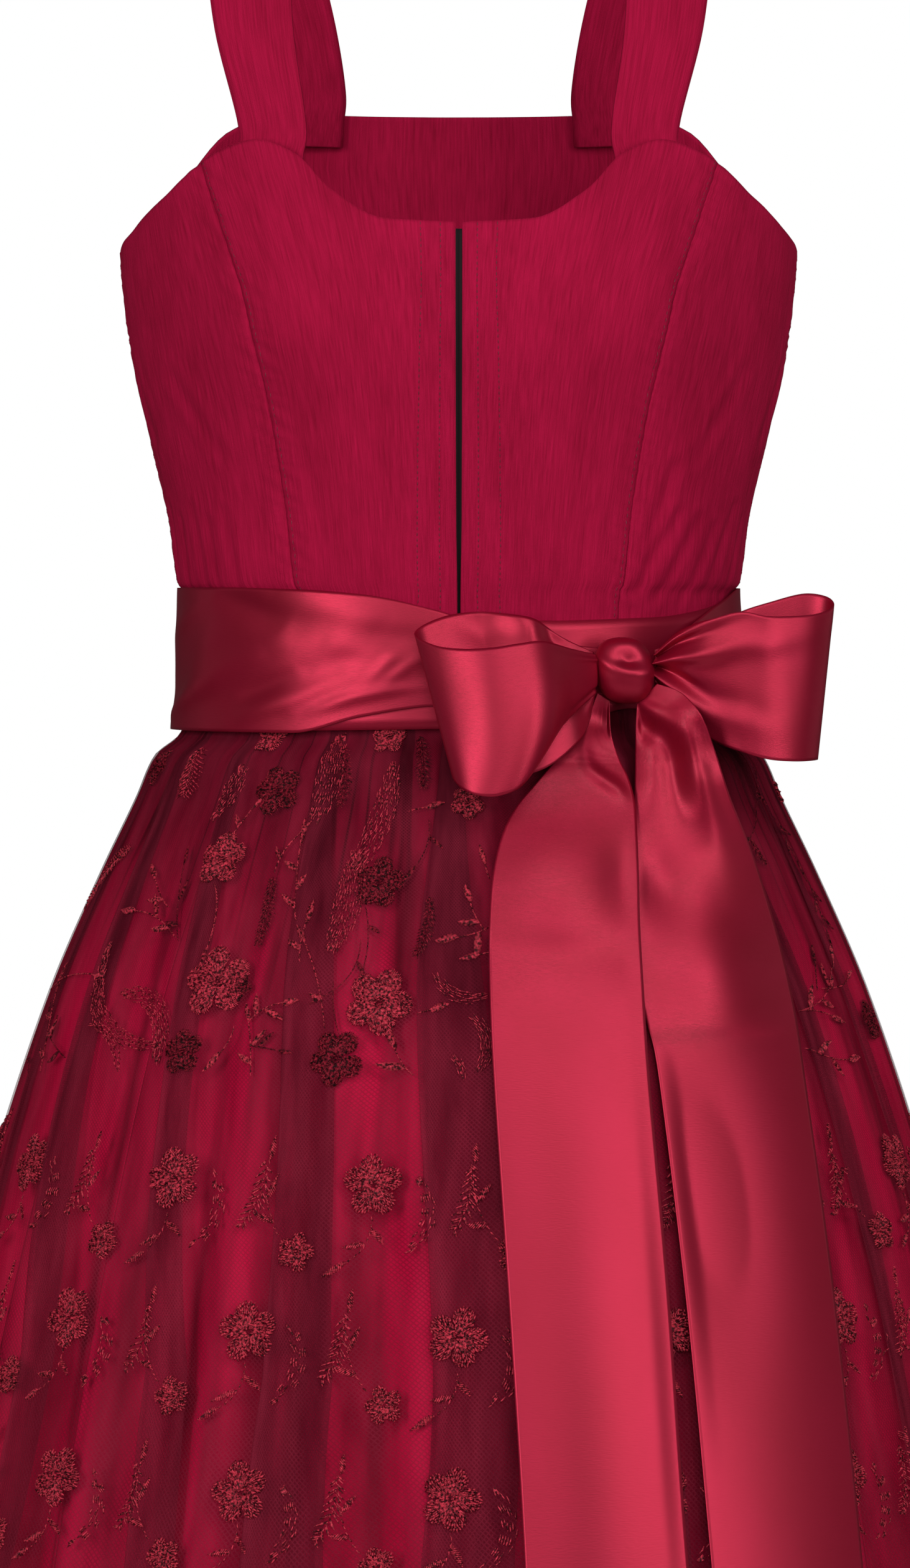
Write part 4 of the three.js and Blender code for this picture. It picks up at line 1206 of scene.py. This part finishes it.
print("creases in the sash:", len(SASH_FOLDS))

# %% The ribbon's shape


def ribbon_point(degrees, z, out):
    angle = math.radians(degrees)
    width = RIBBON.at(z, "width")
    depth = width * WAIST_ROUNDNESS + out
    return Vector(((width + out) * math.sin(angle), -depth * math.cos(angle), z))


def sash_fold(degrees, height):
    """How far the creases stand out at an angle and a share of the ribbon's width."""
    depth = 0
    for fold in SASH_FOLDS:
        away, share = near_line(
            degrees * SHARE_PER_DEGREE, height, fold["angle"] * SHARE_PER_DEGREE, fold["height"],
            fold["end_angle"] * SHARE_PER_DEGREE, fold["end_height"],
        )
        fade = math.sin(math.pi * min(max(share, 0.08), 0.92))
        depth += fold["depth"] * fade * bell(away, 0, fold["width"])
    return depth


def waistband(u, v):
    degrees = 360 * u - 180
    z = mix(WAISTBAND.at(degrees, "bottom"), WAISTBAND.at(degrees, "top"), v)
    return ribbon_point(degrees, z, 1.0 - 0.25 * v)


def sash_wrap(u, v):
    degrees = mix(WRAP.key[0], WRAP.key[-1], u)
    z = mix(WRAP.at(degrees, "bottom"), WRAP.at(degrees, "top"), v)
    drift = noise.noise(Vector((degrees * 0.075 - v * 1.6, v * 2.4, 7)))
    drape = sash_fold(degrees, v) + 1.1 * (drift + 0.5) * math.sin(math.pi * v)
    hug = 0.5 * math.sin(math.pi * v)
    return ribbon_point(degrees, z, 2.5 + WRAP.at(degrees, "out") + drape + hug)


# %% Waistband and sash
shell = cloth("waistband_ribbon", waistband, 240, 10, SATIN, satin, closed=True)
stand_for(shell, "waistband")
shell = cloth("sash_wrap_ribbon", sash_wrap, 360, 40, SATIN, satin)
stand_for(shell, "sash_wrap")

# %% [markdown]
# ## The bow
# A loop is one stretch of the ribbon that leaves the knot, turns over and comes back behind
# it. At the knot its whole width is squeezed together, so pleats fan out from there and
# fade. The photo shows the two edges of each loop best, so a loop is a grid between the
# lines of its edges, pushed out along its pleats.

# %% The loops' lines
LOOP_COLUMNS = "topX topY topZ bottomX bottomY bottomZ"
LOOP_LEFT = Table(
    LOOP_COLUMNS,
    (64.15, -103.5, -4, 64.15, -104, -22), (52, -114, -1, 49, -119, -36),
    (39, -126, 2.5, 39, -134, -51), (28, -131, 1.5, 29, -142, -64),
    (15, -132, -0.5, 18, -145, -68.5), (1, -129, -1, 8, -144, -68),
    (-11, -123, 0.5, 1, -140, -65), (-20.5, -114, 5, -3, -133, -60.5),
    (-17, -106.5, 9.5, -1, -127, -59.5), (-3, -103.5, 15, 11, -124, -59),
    (12.5, -103, 16.5, 27, -122.5, -60), (30, -101.5, 13, 41, -120, -56),
    (41, -99.5, 9, 54, -113, -46), (51, -97, 2.5, 60, -104, -37),
    (63, -93.5, -3, 62.6, -96.5, -24),
)
LOOP_RIGHT = Table(
    LOOP_COLUMNS,
    (91.7, -98, -3, 91.7, -96, -15), (101, -102, 6, 102, -98, -27),
    (110, -104, 10.5, 111, -99, -37.5), (119, -104, 13, 120, -100, -45),
    (132, -102, 16, 134, -104, -50), (144, -101, 14, 145, -103, -53),
    (156, -97, 14, 156, -99, -54), (168, -91, 15, 164, -93, -54),
    (176.5, -82, 18.5, 169, -85, -53.5), (174, -74, 23, 167, -77, -52.5),
    (163, -70, 24.5, 158, -73, -51.5), (147, -70, 20.5, 143, -74, -49.5),
    (133, -73, 16, 131, -78, -45), (116, -81, 8, 114, -86, -33), (91.6, -91, -2, 91.6, -93, -17),
)
print("places along the loops:", len(LOOP_LEFT.key), len(LOOP_RIGHT.key))

# %% The loops' shape


def line_across(table, u, across):
    return Vector(tuple(
        mix(table.along(u, f"bottom{axis}"), table.along(u, f"top{axis}"), across) for axis in "XYZ"
    ))


def loop(table, side, swell, pleats):
    """A loop's face, which swells near the knot and has pleats that fade along it."""

    def plain(u, v):
        return line_across(table, u, v if side > 0 else 1 - v)

    def at(u, v):
        across = v if side > 0 else 1 - v
        push = swell * bell(u, 0.15, 0.12) * math.sin(math.pi * across**0.75)
        for pleat in pleats:
            middle = pleat["place"] + pleat["drift"] * abs(u - pleat["start"])
            fade = bell(u, pleat["start"], pleat["reach"])
            push += pleat["depth"] * fade * bell(across, middle, pleat["spread"])
        return plain(u, v) + outward(plain, u, v) * push

    return at


# %% Loops
# A pleat has its place and spread across the ribbon, and its start and reach along it.
PLEAT_COLUMNS = "place drift depth reach spread start"
LEFT_PLEATS = rows_of(
    PLEAT_COLUMNS,
    (0.86, 0.2, 1.0, 0.07, 0.05, 0), (0.12, 0, -1.2, 0.06, 0.06, 0), (0.60, 0, 0.9, 0.06, 0.35, 0.30),
    (0.50, 0, 2.0, 0.10, 0.12, 1), (0.15, 0, -1.5, 0.08, 0.08, 1), (0.90, 1, 3.6, 0.06, 0.16, 0.70),
    (0.95, 0.5, -3.6, 0.045, 0.14, 0.79), (0.90, 0, 2.2, 0.04, 0.10, 0.87),
)
RIGHT_PLEATS = rows_of(
    PLEAT_COLUMNS,
    (0.62, 0.5, 4.4, 0.30, 0.08, 0), (0.80, 0.5, -3.2, 0.20, 0.05, 0), (0.91, 0.3, 2.4, 0.18, 0.045, 0),
    (0.98, 0.2, -1.8, 0.14, 0.04, 0), (0.42, -0.3, -4.0, 0.22, 0.09, 0), (0.20, 0.1, 3.2, 0.26, 0.10, 0),
    (0.50, 0, 1.5, 0.08, 0.10, 1),
)
shell = cloth("bow_loop_left_ribbon", loop(LOOP_LEFT, -1, 5, LEFT_PLEATS), 170, 44, SATIN, satin)
stand_for(shell, "bow_loop_left")
shell = cloth("bow_loop_right_ribbon", loop(LOOP_RIGHT, 1, 2.5, RIGHT_PLEATS), 170, 44, SATIN, satin)
stand_for(shell, "bow_loop_right")

# %% [markdown]
# The knot is the ribbon wrapped tightly round the bow's middle, and only its last turn
# shows. So it is one closed grid, swollen along an uneven fold and hollow above it.

# %% The knot
KNOT_CENTRE = Vector((77.5, -97.2, -11.5))
KNOT_HALF = Vector((13.9, 12.4, 15.6))


def knot(u, v):
    """The ribbon wrapped round the bow's middle, with a hollow over an uneven fold."""
    turn = 2 * math.pi * u
    lean = math.pi * (v - 0.5)
    x = math.copysign(abs(math.sin(lean)) ** 0.85, lean)
    ring = max(math.cos(lean), 0) ** 0.8
    y, z = -ring * math.cos(turn), ring * math.sin(turn)
    above_fold = z + 0.08 - 0.27 * (x - 0.45) ** 2
    front = max(0, -y) ** 0.5
    hollow = bell(x, 0.25, 0.55) * bell(z, 0.42, 0.3)
    push = front * (1.0 * bell(above_fold, 0, 0.18) + 0.8 * bell(z, 0.9, 0.18) - 4.2 * hollow - 0.6)
    half = KNOT_HALF * (1 + push / 14)
    return KNOT_CENTRE + Vector((half.x * x - 1.6 * z, half.y * y, half.z * z))


shell = cloth("bow_knot_ribbon", knot, 96, 48, 0, satin, closed=True)
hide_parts("bow_knot")
print("knot in mm:", [round(side * 2, 1) for side in KNOT_HALF])

# %% [markdown]
# The tails hang from the knot down the front of the apron. A tail is a grid between its two
# edges too. They are given as seen from the front, with how far they stand off the dress,
# so that the satin never sinks into the net.

# %% The tails' lines
TAIL_BRIDGE = range(-12, 13)
TAIL_CLEARANCE = 1
LEAST_STAND = 0.8
CALM_SHARE = 0.14
TAIL_COLUMNS = "leftX leftZ leftStand rightX rightZ rightStand"
TAIL_LEFT = Table(
    TAIL_COLUMNS,
    (65, -22, 5.5, 70.5, -25.6, 8.5), (59, -36, 5.5, 71, -40, 9.5), (46, -52, 5, 75, -53, 7.5),
    (35.5, -64, 3.4, 79, -61, 6.2), (26, -75, 3, 82, -72, 6), (19.5, -88, 3, 83, -88, 6),
    (15.5, -105, 3, 83.5, -107, 5.8), (14, -124, 3, 83.7, -127, 5.4), (13.8, -150, 3, 84.8, -152, 4.8),
    (15.8, -198, 3, 87.5, -199, 3.6), (22, -290, 3, 95, -290, 3), (28, -385, 3, 101, -385, 3),
    (34, -500, 3, 108, -476, 3),
)
TAIL_RIGHT = Table(
    TAIL_COLUMNS,
    (83.3, -27.3, 15.7, 92.5, -17.6, 26.7), (82.8, -37, 15, 104, -22, 42),
    (82.5, -49, 9.5, 113, -33, 56), (82.2, -62, 3.8, 119.5, -49, 48), (80.8, -79, 2.2, 126.5, -70, 35),
    (79.8, -101, 1.9, 136.5, -94, 22), (79.8, -122, 1.9, 144.5, -118, 14),
    (81.5, -148, 1.9, 151.5, -143, 9), (86.6, -173, 2, 157.5, -172, 5),
    (91.8, -198, 2.2, 161, -198, 4), (103, -295, 3, 172.5, -292, 3),
    (112, -395, 3, 182, -392, 3), (120, -490, 3, 192, -515, 3),
)
print("places along the tails:", len(TAIL_LEFT.key), len(TAIL_RIGHT.key))

# %% The tails' shape


def front_reach(x, z):
    """How far forward the apron, or above it the ribbon round the waist, reaches."""
    if z > SASH_BOTTOM_Z:
        width = RIBBON.at(z, "width")
        return WAIST_ROUNDNESS * math.sqrt(width * width - x * x) + 2.5
    crest = SKIRT.at(z, "crest") + SKIRT.at(z, "apron")
    return roundness(z) * math.sqrt(crest * crest - x * x)


def tail_reach(x, z):
    """The same, evened out up and down, because satin bridges the sash's lower edge."""
    return sum(front_reach(x, z + step) for step in TAIL_BRIDGE) / len(TAIL_BRIDGE)


def tail(table, calm_edge, folds):
    """A tail's face, with soft folds that leave one edge calm."""

    def at(u, v):
        down = 1 - v
        x, z, stand = (
            mix(table.along(down, f"left{name}"), table.along(down, f"right{name}"), u)
            for name in ("X", "Z", "Stand")
        )
        push = 0
        for fold in folds:
            below = down - fold["down"]
            middle = bell(u - fold["lean"] * below, fold["across"], fold["width"])
            push += fold["depth"] * middle * bell(down, fold["down"], fold["height"])
        calm = ease(abs(u - calm_edge), 0, CALM_SHARE)
        return Vector((x, -tail_reach(x, z) - max(stand + push * calm, LEAST_STAND) - TAIL_CLEARANCE, z))

    return at


# %% Tails
# A fold's place, width and height are shares of the tail's width and length.
FOLD_COLUMNS = "across down width height lean depth"
LEFT_TAIL_FOLDS = rows_of(
    FOLD_COLUMNS,
    (0.70, 0.24, 0.12, 0.09, 3.2, 2.6), (0.40, 0.50, 0.40, 0.12, 0, 5.0), (0.5, 0.64, 1.0, 0.03, 0, -1.2),
    (0.9, 0.50, 0.16, 0.08, 0, -2.0), (0.4, 0.88, 0.5, 0.12, 0, 4.0), (0.5, 0.065, 0.8, 0.035, 0, -3.0),
)
RIGHT_TAIL_FOLDS = rows_of(
    FOLD_COLUMNS,
    (0.45, 0.27, 0.14, 0.10, 0, -5.0), (0.75, 0.28, 0.12, 0.12, 0, 3.0), (0.25, 0.46, 0.16, 0.06, 0, -3.5),
    (0.55, 0.60, 0.32, 0.09, 0, 5.5), (0.3, 0.80, 0.35, 0.06, 0, -3.0), (0.48, 0.105, 0.16, 0.09, 2.8, 2.2),
    (0.20, 0.12, 0.17, 0.08, 2.8, -3.8),
)
shell = cloth("bow_tail_left_ribbon", tail(TAIL_LEFT, 1, LEFT_TAIL_FOLDS), 48, 200, SATIN, satin)
stand_for(shell, "bow_tail_left")
shell = cloth("bow_tail_right_ribbon", tail(TAIL_RIGHT, 0, RIGHT_TAIL_FOLDS), 48, 200, SATIN, satin)
stand_for(shell, "bow_tail_right")
